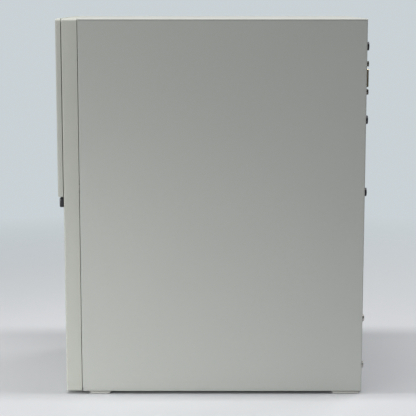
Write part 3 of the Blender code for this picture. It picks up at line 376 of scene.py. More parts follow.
class Shape:
    """A mesh that grows from simple solids, each with its own finish."""

    def __init__(self):
        self.mesh = bmesh.new()
        self.finishes = []

    def adopt(self, part, finish):
        """Joins a solid on, with its faces turned out and its finish noted."""
        bmesh.ops.recalc_face_normals(part, faces=part.faces[:])
        if finish not in self.finishes:
            self.finishes.append(finish)
        number = self.finishes.index(finish)
        for face in part.faces:
            face.material_index = number
            face.smooth = True
        scratch = bpy.data.meshes.new("scratch")
        part.to_mesh(scratch)
        part.free()
        self.mesh.from_mesh(scratch)
        bpy.data.meshes.remove(scratch)
        return self

    def box(self, low, high, finish, bevel=0.0, segments=2):
        part = bmesh.new()
        bmesh.ops.create_cube(part, size=1.0)
        size, middle = Vector(high) - Vector(low), (Vector(high) + Vector(low)) / 2
        for vert in part.verts:
            vert.co = Vector(vert.co[i] * size[i] + middle[i] for i in range(3))
        if bevel:
            width = min(bevel, min(abs(value) for value in size) * 0.49)
            bmesh.ops.bevel(
                part, geom=part.edges[:], offset=width, segments=segments, profile=0.5, affect="EDGES"
            )
        return self.adopt(part, finish)

    def prism(self, plane, outline, start, end, finish, holes=(), bevel=0.0):
        """An outline with holes, extruded along the axis across its plane."""
        first, second, across = PLANES[plane]
        part = bmesh.new()
        for loop in (outline, *holes):
            ring = []
            for point in loop:
                place = [0.0, 0.0, 0.0]
                place[first], place[second], place[across] = point[0], point[1], start
                ring.append(part.verts.new(place))
            for index, vert in enumerate(ring):
                part.edges.new((vert, ring[(index + 1) % len(ring)]))
        bmesh.ops.triangle_fill(part, edges=part.edges[:], use_beauty=True)
        bmesh.ops.dissolve_limit(part, angle_limit=0.01, verts=part.verts[:], edges=part.edges[:])
        grown = bmesh.ops.extrude_face_region(part, geom=part.faces[:])
        shift = [0.0, 0.0, 0.0]
        shift[across] = end - start
        moved = [item for item in grown["geom"] if isinstance(item, bmesh.types.BMVert)]
        bmesh.ops.translate(part, verts=moved, vec=shift)
        if bevel:
            bmesh.ops.recalc_face_normals(part, faces=part.faces[:])
            sharp = [edge for edge in part.edges if edge.is_manifold and edge.calc_face_angle(0.0) > 0.9]
            rounding = {
                "offset": bevel, "segments": 2, "profile": 0.5, "affect": "EDGES", "clamp_overlap": True
            }
            bmesh.ops.bevel(part, geom=sharp, **rounding)
        return self.adopt(part, finish)

    def lathe(self, centre, axis, profile, finish, steps=24):
        """A profile of (radius, height) points turned about a line through the centre along an axis."""
        part = bmesh.new()
        points = [part.verts.new((radius, 0.0, height)) for radius, height in profile]
        edges = [part.edges.new(pair) for pair in zip(points, points[1:])]
        spun = {"cent": (0, 0, 0), "axis": (0, 0, 1), "angle": 2 * pi, "steps": steps}
        bmesh.ops.spin(part, geom=points + edges, use_merge=True, **spun)
        bmesh.ops.remove_doubles(part, verts=part.verts[:], dist=1e-7)
        turn = Vector((0, 0, 1)).rotation_difference(Vector(axis)).to_matrix().to_4x4()
        bmesh.ops.transform(part, matrix=Matrix.Translation(centre) @ turn, verts=part.verts[:])
        return self.adopt(part, finish)

    def tube(self, points, radius, finish, steps=10):
        """A round wire along points, with flat ends."""
        part = bmesh.new()
        route = [Vector(point) for point in points]
        side = (route[1] - route[0]).orthogonal().normalized()
        rings = []
        for index, point in enumerate(route):
            ahead = (route[min(index + 1, len(route) - 1)] - route[max(index - 1, 0)]).normalized()
            side = (side - ahead * side.dot(ahead)).normalized()
            up = ahead.cross(side)
            angles = [2 * pi * step / steps for step in range(steps)]
            rings.append([part.verts.new(point + (side * cos(a) + up * sin(a)) * radius) for a in angles])
        for lower, upper in zip(rings, rings[1:]):
            for index in range(steps):
                after = (index + 1) % steps
                part.faces.new((lower[index], lower[after], upper[after], upper[index]))
        part.faces.new(rings[0])
        part.faces.new(rings[-1])
        return self.adopt(part, finish)

    def ribbon(self, points, width, thickness, side, finish):
        """A flat cable along points, its width held along one direction."""
        part = bmesh.new()
        route = [Vector(point) for point in points]
        side = Vector(side)
        outline = rounded((-width / 2, -thickness / 2), (width / 2, thickness / 2), thickness * 0.45)
        rings = []
        for index, point in enumerate(route):
            ahead = (route[min(index + 1, len(route) - 1)] - route[max(index - 1, 0)]).normalized()
            across = (side - ahead * side.dot(ahead)).normalized()
            up = ahead.cross(across)
            rings.append([part.verts.new(point + across * x + up * y) for x, y in outline])
        for lower, upper in zip(rings, rings[1:]):
            bridge(part, lower, upper)
        part.faces.new(rings[0])
        part.faces.new(rings[-1])
        return self.adopt(part, finish)

    def tile(self, low, high, front, back, radius, corner, finish, holes=(), chamfer=0.0004, wall=0.0):
        """A plate in the XZ plane, facing -Y, with a rounded front rim, hollow behind where it has a wall.

        Each hole is (low corner, high corner, corner radius), with a small chamfer at its mouth.
        """
        part = bmesh.new()
        steps = 4

        def ring(inset, depth):
            inner_corner = max(corner - inset, 0.0002)
            points = rounded(
                (low[0] + inset, low[1] + inset), (high[0] - inset, high[1] - inset), inner_corner
            )
            return [part.verts.new((x, depth, z)) for x, z in points]

        angles = [radians(90.0 * step / steps) for step in range(steps + 1)]
        rings = [ring(radius * (1 - sin(angle)), front + radius * (1 - cos(angle))) for angle in angles]
        rings.append(ring(0.0, back))
        floor = back
        if wall:
            floor = front + wall
            rings += [ring(wall, back), ring(wall, floor)]
        for near, far in zip(rings, rings[1:]):
            bridge(part, near, far)
        front_edges, floor_edges = ring_edges(part, rings[0]), ring_edges(part, rings[-1])
        for hole_low, hole_high, hole_radius in holes:
            loops = []
            for grow, depth in ((chamfer, front), (0.0, front + chamfer), (0.0, floor)):
                grown_low = (hole_low[0] - grow, hole_low[1] - grow)
                grown_high = (hole_high[0] + grow, hole_high[1] + grow)
                points = rounded(grown_low, grown_high, hole_radius + grow)
                loops.append([part.verts.new((x, depth, z)) for x, z in points])
            bridge(part, loops[0], loops[1])
            bridge(part, loops[1], loops[2])
            front_edges += ring_edges(part, loops[0])
            floor_edges += ring_edges(part, loops[2])
        for edges in (front_edges, floor_edges):
            bmesh.ops.triangle_fill(part, edges=edges, use_beauty=True)
        return self.adopt(part, finish)

    def merge(self, other, matrix):
        """Takes in another shape, moved by a matrix."""
        base = len(self.finishes)
        self.finishes += other.finishes
        for face in other.mesh.faces:
            face.material_index += base
        scratch = bpy.data.meshes.new("scratch")
        other.mesh.to_mesh(scratch)
        other.mesh.free()
        scratch.transform(matrix)
        self.mesh.from_mesh(scratch)
        bpy.data.meshes.remove(scratch)
        return self

    def object(self, name, body, replaces=(), slot=None, smooth=35):
        mesh = bpy.data.meshes.new(name)
        self.mesh.to_mesh(mesh)
        self.mesh.free()
        for finish in self.finishes:
            mesh.materials.append(FINISHES[finish].material)
        mesh.set_sharp_from_angle(angle=radians(smooth))
        made = bpy.data.objects.new(name, mesh)
        bpy.context.scene.collection.objects.link(made)
        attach(made, body)
        if replaces:
            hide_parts(*replaces)
        return made


# The painted shell.

BEND = 0.0009
HEM = 0.009
LIP = 0.0035


def make_side(name, body, node, sign, screws):
    """A side sheet: rounded front edge, rear flange with screw holes; the fixed one is hemmed and lipped."""
    low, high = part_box(node)
    flange = low.x if sign > 0 else -high.x
    shape = Shape()
    if sign > 0:
        front = [(SIDE - HEM, low.y), *arc((SIDE - BEND, low.y + BEND), BEND, 270, 360, 5)]
        bottom = arc((SIDE - BEND, low.z + BEND), BEND, 270, 360, 5)
        lip = strip_outline([(SIDE - HEM, low.z), *bottom, (SIDE, low.z + LIP)], SHEET)
        shape.prism("XZ", lip, low.y + BEND, high.y - BEND, "powder_coat")
        foot = low.z + LIP
    else:
        edge = SHEET * 0.7
        front = arc((SIDE - edge, low.y + edge), edge, 270, 360, 4)
        front[0:0] = [(SIDE - SHEET, low.y + 0.0002), (SIDE - SHEET * 0.85, low.y)]
        foot = low.z
    if sign > 0:
        sheet = strip_outline([*front, (SIDE, high.y - BEND)], SHEET)
    else:
        sheet = [*front, (SIDE, high.y - BEND), (SIDE - SHEET, high.y - BEND)]
    shape.prism("XY", sheet, foot, high.z, "powder_coat")
    bend = strip_outline(arc((SIDE - BEND, high.y - BEND), BEND, 0, 90, 5), SHEET)
    shape.prism("XY", bend, low.z, high.z, "powder_coat")
    plate = rectangle((flange, low.z), (SIDE - BEND, high.z))
    holes = [circle((abs(x), z), 0.0021, 16) for x, z in screws]
    shape.prism("XZ", plate, high.y - SHEET, high.y, "powder_coat", holes)
    if sign < 0:
        bmesh.ops.scale(shape.mesh, vec=(-1, 1, 1), verts=shape.mesh.verts[:])
        bmesh.ops.reverse_faces(shape.mesh, faces=shape.mesh.faces[:])
    return shape.object(name, body, [node], "painted")


def make_top():
    low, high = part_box("top_cover")
    shape = Shape()
    corner = 0.0011
    left = arc((low.x + corner, high.z - corner), corner, 180, 90, 5)
    right = arc((high.x - corner, high.z - corner), corner, 90, 0, 5)
    path = [*right[::-1], *left[::-1]]
    path = [(high.x, high.z - 0.0014), *path, (low.x, high.z - 0.0014)]
    shape.prism("XZ", strip_outline(path, SHEET), low.y, high.y, "powder_coat")
    return shape.object("top_panel", "chassis", ["top_cover"], "painted")


# The screws through the sides' rear flanges: the black ones and the low dome heads on the fixed side.
SCREW_X = mid("side_panel_screw").x
BLACK_LEVELS = [mid(name).z for name in ("panel_screw_lower", "side_panel_screw", "panel_screw_upper")]
BLACK_SCREWS = [(SCREW_X, level) for level in BLACK_LEVELS]
DOME_SCREWS = [(SCREW_X, mid(f"case_screw_{place}").z) for place in ("lower", "upper")]
PANEL_SCREWS = [
    (mid(f"panel_screw_{place}").x, mid(f"panel_screw_{place}").z) for place in ("lower", "upper")
]

make_side("side_panel", "chassis", "right_side_panel", 1, BLACK_SCREWS + DOME_SCREWS)
make_side("access_cover", "access_panel", "access_panel", -1, PANEL_SCREWS)
make_top()


# The front.

BEZEL_WALL = 0.0025
DISC_LOW, DISC_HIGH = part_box("tray_face")
EJECT_LOW, EJECT_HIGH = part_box("eject_button")
BUTTON_LOW, BUTTON_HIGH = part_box("power_button")
LENS_LOW, LENS_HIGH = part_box("status_lens")
STRIP_MIDDLE = (STRIP_LOW.z + STRIP_HIGH.z) / 2
BOSS_BACK = STRIP_HIGH.y
BEZEL_FRONT = BEZEL_LOW.y
BEZEL_BACK = SHELL_LOW.y - 0.0004
GROOVE = 0.0010
HOOKS = [(x, z) for x in (-0.0770, 0.0725) for z in (0.0490, 0.2640)]
INTAKE_ROWS = [0.0300 + 0.0070 * row for row in range(6)]
# The strip's sockets: middle and half width along X, and half height.
USB_PLACES = (-0.0010, 0.0200)
USB_HALF = (0.0070, 0.0030)
AUDIO_X = -0.0205
CARD_X, CARD_HALF = 0.0480, (0.0130, 0.0016)


def make_bezel():
    """The front moulding: a shallow shell with ribs, intake slots and four snap hooks."""
    low, high = (-SIDE, BEZEL_LOW.z), (SIDE, BEZEL_HIGH.z)
    holes = [((-0.0700, 0.2900), (0.0700, 0.3250), 0.001), ((-0.0720, 0.1722), (0.0720, 0.1793), 0.0008)]
    holes += [((-0.045, level), (0.045, level + 0.003), 0.0014) for level in INTAKE_ROWS]
    shape = Shape()
    rim = {"radius": 0.0013, "corner": 0.0022, "wall": BEZEL_WALL}
    shape.tile(low, high, BEZEL_FRONT, BEZEL_BACK, finish="bezel_plastic", holes=holes, **rim)
    inside = BEZEL_FRONT + BEZEL_WALL
    for x in (-0.060, -0.030, 0.0, 0.030, 0.060):
        shape.box((x - 0.0006, inside - 0.0002, 0.082), (x + 0.0006, inside + 0.006, 0.160), "bezel_plastic")
        shape.box((x - 0.0006, inside - 0.0002, 0.188), (x + 0.0006, inside + 0.006, 0.282), "bezel_plastic")
    for level in (0.084, 0.120, 0.156, 0.190, 0.235, 0.278):
        shape.box((-0.080, inside - 0.0002, level), (0.080, inside + 0.005, level + 0.0012), "bezel_plastic")
    for x, z in HOOKS:
        arm = [(inside - 0.0002, z - 0.004), (BEZEL_HIGH.y - 0.003, z - 0.004), (BEZEL_HIGH.y, z - 0.002)]
        arm += [
            (BEZEL_HIGH.y - 0.0040, z + 0.0006), (BEZEL_HIGH.y - 0.0040, z - 0.0014),
            (inside - 0.0002, z + 0.002)
        ]
        shape.prism("YZ", arm, x - 0.0019, x + 0.0019, "bezel_plastic", bevel=0.0003)
    return shape.object("bezel_shell", "bezel", ["front_bezel"], "bezel_plastic")


def make_fascia():
    """The raised plate on the upper front, with a shadow groove behind it and the disc slot in it."""
    slot = ((DISC_LOW.x - 0.0005, DISC_LOW.z - 0.0005), (DISC_HIGH.x + 0.0005, DISC_HIGH.z + 0.0005), 0.0012)
    low, high = (-SIDE, FASCIA_LOW.z), (SIDE, FASCIA_HIGH.z)
    plate_back = BEZEL_FRONT - 0.0004
    shape = Shape()
    shape.tile(low, high, FASCIA_LOW.y, plate_back, 0.0011, 0.0024, "bezel_plastic", [slot], 0.0005)
    core_low, core_high = (low[0] + GROOVE, low[1] + GROOVE), (high[0] - GROOVE, high[1] - GROOVE)
    opening = rectangle(slot[0], slot[1])
    core = rectangle(core_low, core_high)
    shape.prism("XZ", core, plate_back - 0.0001, BEZEL_FRONT - 0.0003, "bezel_plastic", [opening])
    boss = rectangle((-0.0690, 0.2910), (0.0690, 0.3240))
    shape.prism("XZ", boss, BEZEL_FRONT - 0.0004, BOSS_BACK, "bezel_plastic", [opening])
    return shape.object("fascia_plate", "bezel", ["upper_fascia"], "bezel_plastic")


def usb_socket(depth=0.0110, tongue="dark_plastic"):
    """A socket's steel shell round a tongue with four contacts: long side along X, mouth at z = 0."""
    shape = Shape()
    outer, inner = rounded(
        (-0.0066, -0.0029), (0.0066, 0.0029), 0.0007
    ), rounded((-0.0062, -0.0025), (0.0062, 0.0025), 0.0005)
    shape.prism("XY", outer, -depth, 0.0, "plated_steel", [inner])
    shape.prism("XY", outer, -depth - 0.0004, -depth, "cable_black")
    shape.box((-0.0055, 0.0003, -depth), (0.0055, 0.0021, -0.0012), tongue, 0.0002)
    for index in range(4):
        x = -0.0035 + 0.00233 * index
        shape.box((x - 0.0005, 0.0000, -depth), (x + 0.0005, 0.00035, -0.0022), "gold")
    for x in (-0.0032, 0.0032):
        for y in (-0.0026, 0.0026):
            shape.box((x - 0.0009, y - 0.0002, -0.0072), (x + 0.0009, y + 0.0002, -0.0030), "zinc_steel")
    return shape


def jack_socket(ring="cable_black"):
    """A round jack, mouth at z = 0 facing +Z."""
    shape = Shape()
    profile = [
        (0.0018, -0.010), (0.0018, -0.0002), (0.0021, 0.0), (0.0028, 0.0), (0.0030, -0.0003), (0.0030, -0.010)
    ]
    shape.lathe((0, 0, 0), (0, 0, 1), profile + [profile[0]], ring, 24)
    shape.lathe(
        (0, 0, -0.0008), (0, 0, 1),
        [(0.0018, 0), (0.0021, 0), (0.0021, -0.001), (0.0018, -0.001), (0.0018, 0)], "gold", 20
    )
    shape.lathe(
        (0, 0, -0.0095), (0, 0, 1), [(0, 0), (0.0025, 0), (0.0025, -0.0005), (0, -0.0005)], "cable_black", 16
    )
    return shape


def make_strip():
    low, high = (-SIDE, STRIP_LOW.z), (SIDE, STRIP_HIGH.z)
    back = BEZEL_FRONT - 0.0003

    def hole(middle, half):
        return (
            (middle - half[0], STRIP_MIDDLE - half[1]), (middle + half[0], STRIP_MIDDLE + half[1]),
            min(half) * 0.3
        )

    holes = [hole(x, USB_HALF) for x in USB_PLACES] + [hole(CARD_X, CARD_HALF)]
    button_half = (BUTTON_HIGH.x - BUTTON_LOW.x) / 2 + 0.0004
    holes.append(hole((BUTTON_LOW.x + BUTTON_HIGH.x) / 2, (button_half, 0.0027)))
    holes.append(hole((LENS_LOW.x + LENS_HIGH.x) / 2, (0.0030, 0.0012)))
    jack = circle((AUDIO_X, STRIP_MIDDLE), 0.0031)
    holes.append(
        ((AUDIO_X - 0.0031, STRIP_MIDDLE - 0.0031), (AUDIO_X + 0.0031, STRIP_MIDDLE + 0.0031), 0.0030)
    )
    shape = Shape()
    shape.tile(low, high, STRIP_LOW.y, back, 0.0012, 0.0014, "dark_plastic", holes, 0.0003)
    loops = [rectangle(item[0], item[1]) for item in holes[:-1]] + [jack]
    boss = rectangle((-0.0712, STRIP_LOW.z + 0.0012), (0.0712, STRIP_HIGH.z - 0.0012))
    shape.prism("XZ", boss, back - 0.0001, BOSS_BACK, "dark_plastic", loops)
    return shape.object("port_strip", "bezel", ["io_strip"], "dark_plastic")


def make_front_sockets():
    """The board behind the strip with its sockets, which stay on the chassis when the bezel comes off."""
    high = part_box("front_io_board")[1]
    board_top = STRIP_MIDDLE - 0.0031
    shape = Shape()
    shape.box((-0.0400, -0.1150, board_top - 0.0016), (0.0630, high.y, board_top), "circuit_board", 0.0002)
    mouth = STRIP_LOW.y + 0.0006
    for x in USB_PLACES:
        shape.merge(usb_socket(0.024), facing((x, mouth, STRIP_MIDDLE), (0, -1, 0), (1, 0, 0)))
        shape.box(
            (x - 0.0064, mouth + 0.0240, board_top), (x + 0.0064, mouth + 0.0300, STRIP_MIDDLE + 0.0028),
            "plated_steel", 0.0003
        )
    shape.merge(jack_socket(), facing((AUDIO_X, mouth, STRIP_MIDDLE), (0, -1, 0), (1, 0, 0)))
    shape.box(
        (AUDIO_X - 0.0030, mouth + 0.0100, board_top),
        (AUDIO_X + 0.0030, mouth + 0.0300, STRIP_MIDDLE + 0.0028), "cable_black", 0.0003
    )
    card_low = (CARD_X - 0.0127, mouth + 0.0012, STRIP_MIDDLE - 0.0013)
    shape.box(card_low, (CARD_X + 0.0127, mouth + 0.0300, STRIP_MIDDLE - 0.0010), "plated_steel")
    shape.box(
        (card_low[0], mouth + 0.0012, STRIP_MIDDLE + 0.0010),
        (CARD_X + 0.0127, mouth + 0.0300, STRIP_MIDDLE + 0.0013), "plated_steel"
    )
    shape.box(
        (card_low[0], mouth + 0.0200, board_top), (CARD_X + 0.0127, mouth + 0.0320, STRIP_MIDDLE + 0.0012),
        "plated_steel", 0.0002
    )
    for x in (-0.034, -0.012, 0.010, 0.031, 0.058):
        shape.box(
            (x - 0.0015, -0.0945, board_top), (x + 0.0015, -0.0925, board_top + 0.0010), "chip_black", 0.0002
        )
    shape.box(
        (-0.006, -0.0945, board_top), (0.006, high.y + 0.0004, board_top + 0.0045), "connector_white", 0.0003
    )
    return shape.object("front_sockets", "chassis", ["front_io_board"], "circuit_board")


def make_button_and_lens():
    low, high = BUTTON_LOW, BUTTON_HIGH
    shape = Shape()
    corners = ((low.x, low.z), (high.x, high.z))
    shape.tile(*corners, low.y, high.y, 0.0006, 0.0012, "button_plastic")
    middle = ((low.x + high.x) / 2, low.y - 0.00005, (low.z + high.z) / 2)
    outer, inner = circle((middle[0], middle[2]), 0.00130, 28), circle((middle[0], middle[2]), 0.00105, 28)
    shape.prism("XZ", outer, middle[1], middle[1] + 0.0002, "groove_shadow", [inner])
    shape.box(
        (middle[0] - 0.00013, middle[1] - 0.00002, middle[2]),
        (middle[0] + 0.00013, middle[1] + 0.0002, middle[2] + 0.0016), "groove_shadow"
    )
    shape.object("power_key", "power_button", ["power_button"], "bezel_plastic")
    light = Shape()
    light.tile(
        (LENS_LOW.x, LENS_LOW.z), (LENS_HIGH.x, LENS_HIGH.z), LENS_LOW.y, LENS_HIGH.y, 0.0005, 0.0007, "lens"
    )
    light.object("status_light", "bezel", ["status_lens"], "lens")


def make_feet():
    for name in ("foot_front_left", "foot_front_right", "foot_rear_left", "foot_rear_right"):
        low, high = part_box(name)
        top = SHELL_LOW.z - 0.0003
        slant = 0.0022
        outline = [(low.y + slant, low.z), (high.y - slant, low.z), (high.y, top), (low.y, top)]
        shape = Shape()
        shape.prism("YZ", outline, low.x, high.x, "foot_plastic", bevel=0.0005)
        middle = (low + high) / 2
        shape.box(
            (middle.x - 0.002, middle.y - 0.002, top - 0.0005), (middle.x + 0.002, middle.y + 0.002, high.z),
            "foot_plastic", 0.0003
        )
        shape.object(name + "_pad", "chassis", [name], "feet")


make_bezel()
make_fascia()
make_strip()
make_front_sockets()
make_button_and_lens()
make_feet()


# Screws.


def screw(radius, height, finish, domed=False, hexed=False, shank=0.0050):
    """A cross-head screw, its seat at z = 0 and its head towards +Z."""
    shape = Shape()
    cap, floor = radius * 0.62, height * 0.3
    recess = cross_outline(radius * 0.52, radius * 0.12)
    if hexed:
        hexagon = circle((0, 0), radius, 6)
        shape.prism("XY", hexagon, 0.0, height, finish, [recess], 0.0002)
    else:
        shoulder = [(cap, height)]
        if domed:
            shoulder += [
                (cap + (radius - cap) * sin(a), height * (0.2 + 0.8 * cos(a))) for a in (0.4, 0.8, 1.2, 1.57)
            ]
        else:
            shoulder += [(radius * 0.93, height), (radius, height * 0.8)]
        shape.lathe(
            (0, 0, 0), (0, 0, 1), [*shoulder, (radius, 0.0001), (radius * 0.97, 0), (cap, 0), (cap, height)],
            finish, 32
        )
        shape.prism("XY", circle((0, 0), cap, 32), floor, height, finish, [recess])
    shape.prism("XY", circle((0, 0), cap * 0.99, 24), 0.0, floor, finish)
    if shank:
        turns = int(shank / 0.0008)
        thread = [(0.0, -shank), (0.0011, -shank)]
        for turn in range(turns):
            level = -shank + 0.0004 + turn * 0.0008
            thread += [(0.0012, level), (0.0016, level + 0.0004)]
        shape.lathe((0, 0, 0), (0, 0, 1), [*thread, (0.0014, 0.0)], finish, 20)
    return shape


def place_screws(shape, places, y, radius, height, finish, **kind):
    """Cross-head screws that stand on a plane and face rearwards."""
    for index, (x, z) in enumerate(places):
        turn = radians(23.0 + 47.0 * index)
        right = (cos(turn), 0.0, sin(turn))
        shape.merge(screw(radius, height, finish, **kind), facing((x, y, z), (0, 1, 0), right))
    return shape


def make_side_screws():
    seat, height = REAR, 0.0018
    black = place_screws(Shape(), [BLACK_SCREWS[1]], seat, 0.0038, height, "black_oxide")
    black.object("side_screw_middle", "chassis", ["side_panel_screw"], "black_steel")
    more = place_screws(Shape(), [BLACK_SCREWS[0], BLACK_SCREWS[2]], seat, 0.0038, height, "black_oxide")
    more.object("side_screws_more", "chassis", slot="black_steel")
    for place, centre in zip(("lower", "upper"), DOME_SCREWS):
        dome = place_screws(Shape(), [centre], seat, 0.0034, height, "nickel", domed=True)
        dome.object(f"case_screw_{place}_head", "chassis", [f"case_screw_{place}"], "bright_steel")
    for place, centre in zip(("lower", "upper"), PANEL_SCREWS):
        thumb = place_screws(Shape(), [centre], seat, 0.0038, height, "black_oxide")
        thumb.object(f"cover_screw_{place}", f"panel_screw_{place}", [f"panel_screw_{place}"], "black_steel")


make_side_screws()


# The rear.

FAN = mid("rear_fan_frame")
SUPPLY_LOW, SUPPLY_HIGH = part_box("power_supply_case")
SUPPLY_FAN = mid("power_supply_fan_rotor")
INLET_LOW, INLET_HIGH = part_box("power_inlet")
SHIELD_LOW, SHIELD_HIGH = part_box("io_shield")
COVERS = [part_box(f"slot_cover_{number}") for number in (1, 2, 3)]
SUPPLY_SCREWS = [(x, z) for x in (-0.0600, 0.0600) for z in (0.0077, 0.0768)]
FAN_BOLTS = [(FAN.x + x, FAN.z + z) for x in (-0.0413, 0.0413) for z in (-0.0413, 0.0413)]


def rim(shape, low, high, width, start, end, finish, corner=0.0006):
    """A flat frame in the XZ plane."""
    outer = rounded((low[0] - width, low[1] - width), (high[0] + width, high[1] + width), corner + width)
    shape.prism("XZ", outer, start, end, finish, [rounded(low, high, corner)])


def make_rear_wall():
    low, high = WALL_LOW, WALL_HIGH
    shape = Shape()
    holes = hexagons((FAN.x, FAN.z), 0.0435, 0.0058, 0.0029)
    aperture = (
        (SHIELD_LOW.x - 0.0003, SHIELD_LOW.z - 0.0003), (SHIELD_HIGH.x + 0.0003, SHIELD_HIGH.z + 0.0003)
    )
    supply = ((-0.0680, 0.0110), (0.0630, 0.0735))
    holes += [rounded(*aperture, 0.0010), rounded(*supply, 0.0030)]
    for cover_low, cover_high in COVERS:
        level = (cover_low.z + cover_high.z) / 2
        holes.append(rounded((-0.0440, level - 0.0063), (0.0640, level + 0.0063), 0.0012))
    holes += [circle(place, 0.0021, 16) for place in BLACK_SCREWS + DOME_SCREWS + PANEL_SCREWS]
    outline = rectangle((low.x, low.z), (high.x, high.z))
    shape.prism("XZ", outline, low.y, high.y, "zinc_steel", holes)
    rim(shape, *supply, 0.0012, low.y - 0.0006, low.y, "zinc_steel", 0.003)
    for level in (0.0885, 0.1500):
        shape.box(
            (-0.0600, high.y - 0.0002, level), (0.0200, high.y + 0.0003, level + 0.0030), "zinc_steel", 0.0002
        )
    for x in (-0.0640, 0.0700):
        for level in (0.0900, 0.1530, 0.3270):
            rivet = [(0.0, 0.0010), (0.0012, 0.0009), (0.0021, 0.0004), (0.0024, 0.0)]
            shape.lathe((x, high.y - 0.0001, level), (0, 1, 0), rivet, "zinc_steel", 20)
    return shape.object("rear_plate", "chassis", ["rear_wall"], "zinc_steel")


def make_rear_screws():
    shape = place_screws(Shape(), SUPPLY_SCREWS, WALL_FACE, 0.0032, 0.0020, "plated_steel", hexed=True)
    place_screws(shape, FAN_BOLTS, WALL_FACE, 0.0036, 0.0016, "black_oxide", domed=True)
    return shape.object("rear_plate_screws", "chassis", slot="bright_steel")


def make_shield():
    low, high = SHIELD_LOW, SHIELD_HIGH
    shape = Shape()
    holes = []
    margin = 0.0005
    for name in ("vga_port", "display_port", "usb_ports", "network_port", "audio_ports"):
        port_low, port_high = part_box(name)
        hole = ((port_low.x - margin, port_low.z - margin), (port_high.x + margin, port_high.z + margin))
        holes.append(rounded(*hole, 0.0006))
        rim(shape, *hole, 0.0006, high.y - 0.0002, high.y + 0.0003, "plated_steel")
    plate = rounded((low.x, low.z), (high.x, high.z), 0.0012)
    shape.prism("XZ", plate, low.y, high.y, "plated_steel", holes)
    inset = 0.0014
    inner = ((low.x + inset, low.z + inset), (high.x - inset, high.z - inset))
    rim(shape, *inner, 0.0009, high.y - 0.0002, high.y + 0.0003, "plated_steel", 0.0010)
    for level in (0.2765, 0.2900):
        shape.box(
            (low.x + 0.004, high.y - 0.0001, level), (0.0530, high.y + 0.0003, level + 0.0016),
            "plated_steel", 0.0002
        )
    for x in (0.0345, 0.0415, 0.0485):
        ring = [(0.0012, 0.0), (0.0012, 0.0003), (0.0016, 0.0003), (0.0016, 0.0), (0.0012, 0.0)]
        shape.lathe((x, high.y, 0.2580), (0, 1, 0), ring, "plated_steel", 20)
    return shape.object("connector_shield", "chassis", ["io_shield"], "shield_steel")


def make_vga():
    low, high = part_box("vga_port")
    jack_low, jack_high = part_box("vga_jackscrew_lower")
    x = (jack_low.x + jack_high.x) / 2
    z = (low.z + high.z) / 2
    tip, face = high.y, SHIELD_HIGH.y + 0.0006
    shape = Shape()
    shape.box((low.x, low.y, low.z + 0.004), (high.x, face - 0.0010, high.z - 0.004), "chip_black", 0.0004)

    def dee(grow):
        corners = [(x + 0.0040 + grow, z - 0.0082 - grow), (x + 0.0040 + grow, z + 0.0082 + grow)]
        corners += [(x - 0.0040 - grow, z + 0.0072 + grow), (x - 0.0040 - grow, z - 0.0072 - grow)]
        return eased(corners, 0.0016)

    screws = [circle((x, z + side * 0.0125), 0.0017, 16) for side in (-1, 1)]
    plate = rounded((low.x, low.z), (high.x, high.z), 0.0015)
    shape.prism("XZ", plate, face - 0.0010, face, "plated_steel", [dee(-0.0004), *screws], 0.0002)
    # The shell's brown, darkened steel is painted shade.
    shape.prism("XZ", dee(0.0), face - 0.0002, tip, "shade_darkened_steel", [dee(-0.0004)])
    shape.prism("XZ", dee(0.0007), face - 0.0001, face + 0.0006, "shade_darkened_steel", [dee(-0.0004)], 0.0002)
    pins = []
    for row in (-1, 0, 1):
        pins += [
            circle(
                (x - row * 0.0019, z + (column + row * 0.25) * 0.0023), 0.00042, 8
            ) for column in range(-2, 3)
        ]
    shape.prism("XZ", dee(-0.0005), face - 0.0008, tip - 0.0011, "port_blue", pins)
    shape.prism("XZ", dee(-0.0005), face - 0.0016, face - 0.0009, "chip_black")
    shape.object("vga_socket", "chassis", ["vga_port"], "connector_plastic")
    for place in ("lower", "upper"):
        node = f"vga_jackscrew_{place}"
        nut_low, nut_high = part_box(node)
        level = (nut_low.z + nut_high.z) / 2
        nut = Shape()
        hexagon = circle((x, level), 0.00275, 6)
        # The nut's near-black nickel is painted shade.
        nut.prism(
            "XZ", hexagon, face + 0.0001, nut_high.y, "shade_darkened_nickel", [circle((x, level), 0.0014, 16)], 0.0003
        )
        nut.prism("XZ", circle((x, level), 0.0016, 16), nut_low.y, face + 0.0015, "shade_darkened_nickel")
        nut.object(f"vga_nut_{place}", "chassis", [node], "bright_steel")


def make_display_port():
    low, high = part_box("display_port")
    x, z = (low.x + high.x) / 2, (low.z + high.z) / 2
    shape = Shape()
    shape.box((low.x, low.y, low.z), (high.x, high.y - 0.0060, high.z), "plated_steel", 0.0003)
    outline = [
        (low.x, low.z + 0.0020), (low.x + 0.0020, low.z), (high.x, low.z), (high.x, high.z), (low.x, high.z)
    ]
    inner = [
        (low.x + 0.0005, low.z + 0.0022), (low.x + 0.0022, low.z + 0.0005), (high.x - 0.0005, low.z + 0.0005)
    ]
    inner += [(high.x - 0.0005, high.z - 0.0005), (low.x + 0.0005, high.z - 0.0005)]
    shape.prism("XZ", outline, high.y - 0.0062, high.y, "plated_steel", [inner])
    shape.box(
        (x - 0.0008, high.y - 0.0060, z - 0.0055), (x + 0.0008, high.y - 0.0012, z + 0.0055), "chip_black",
        0.0002
    )
    for index in range(10):
        level = z - 0.0045 + 0.0010 * index
        shape.box(
            (x - 0.0010, high.y - 0.0060, level - 0.0002), (x + 0.0010, high.y - 0.0020, level + 0.0002),
            "gold"
        )
    return shape.object("display_socket", "chassis", ["display_port"], "shield_steel")


def add_rear_usb(shape, x, z, mouth):
    shape.merge(usb_socket(), facing((x, mouth, z), (0, 1, 0), (0, 0, 1)))


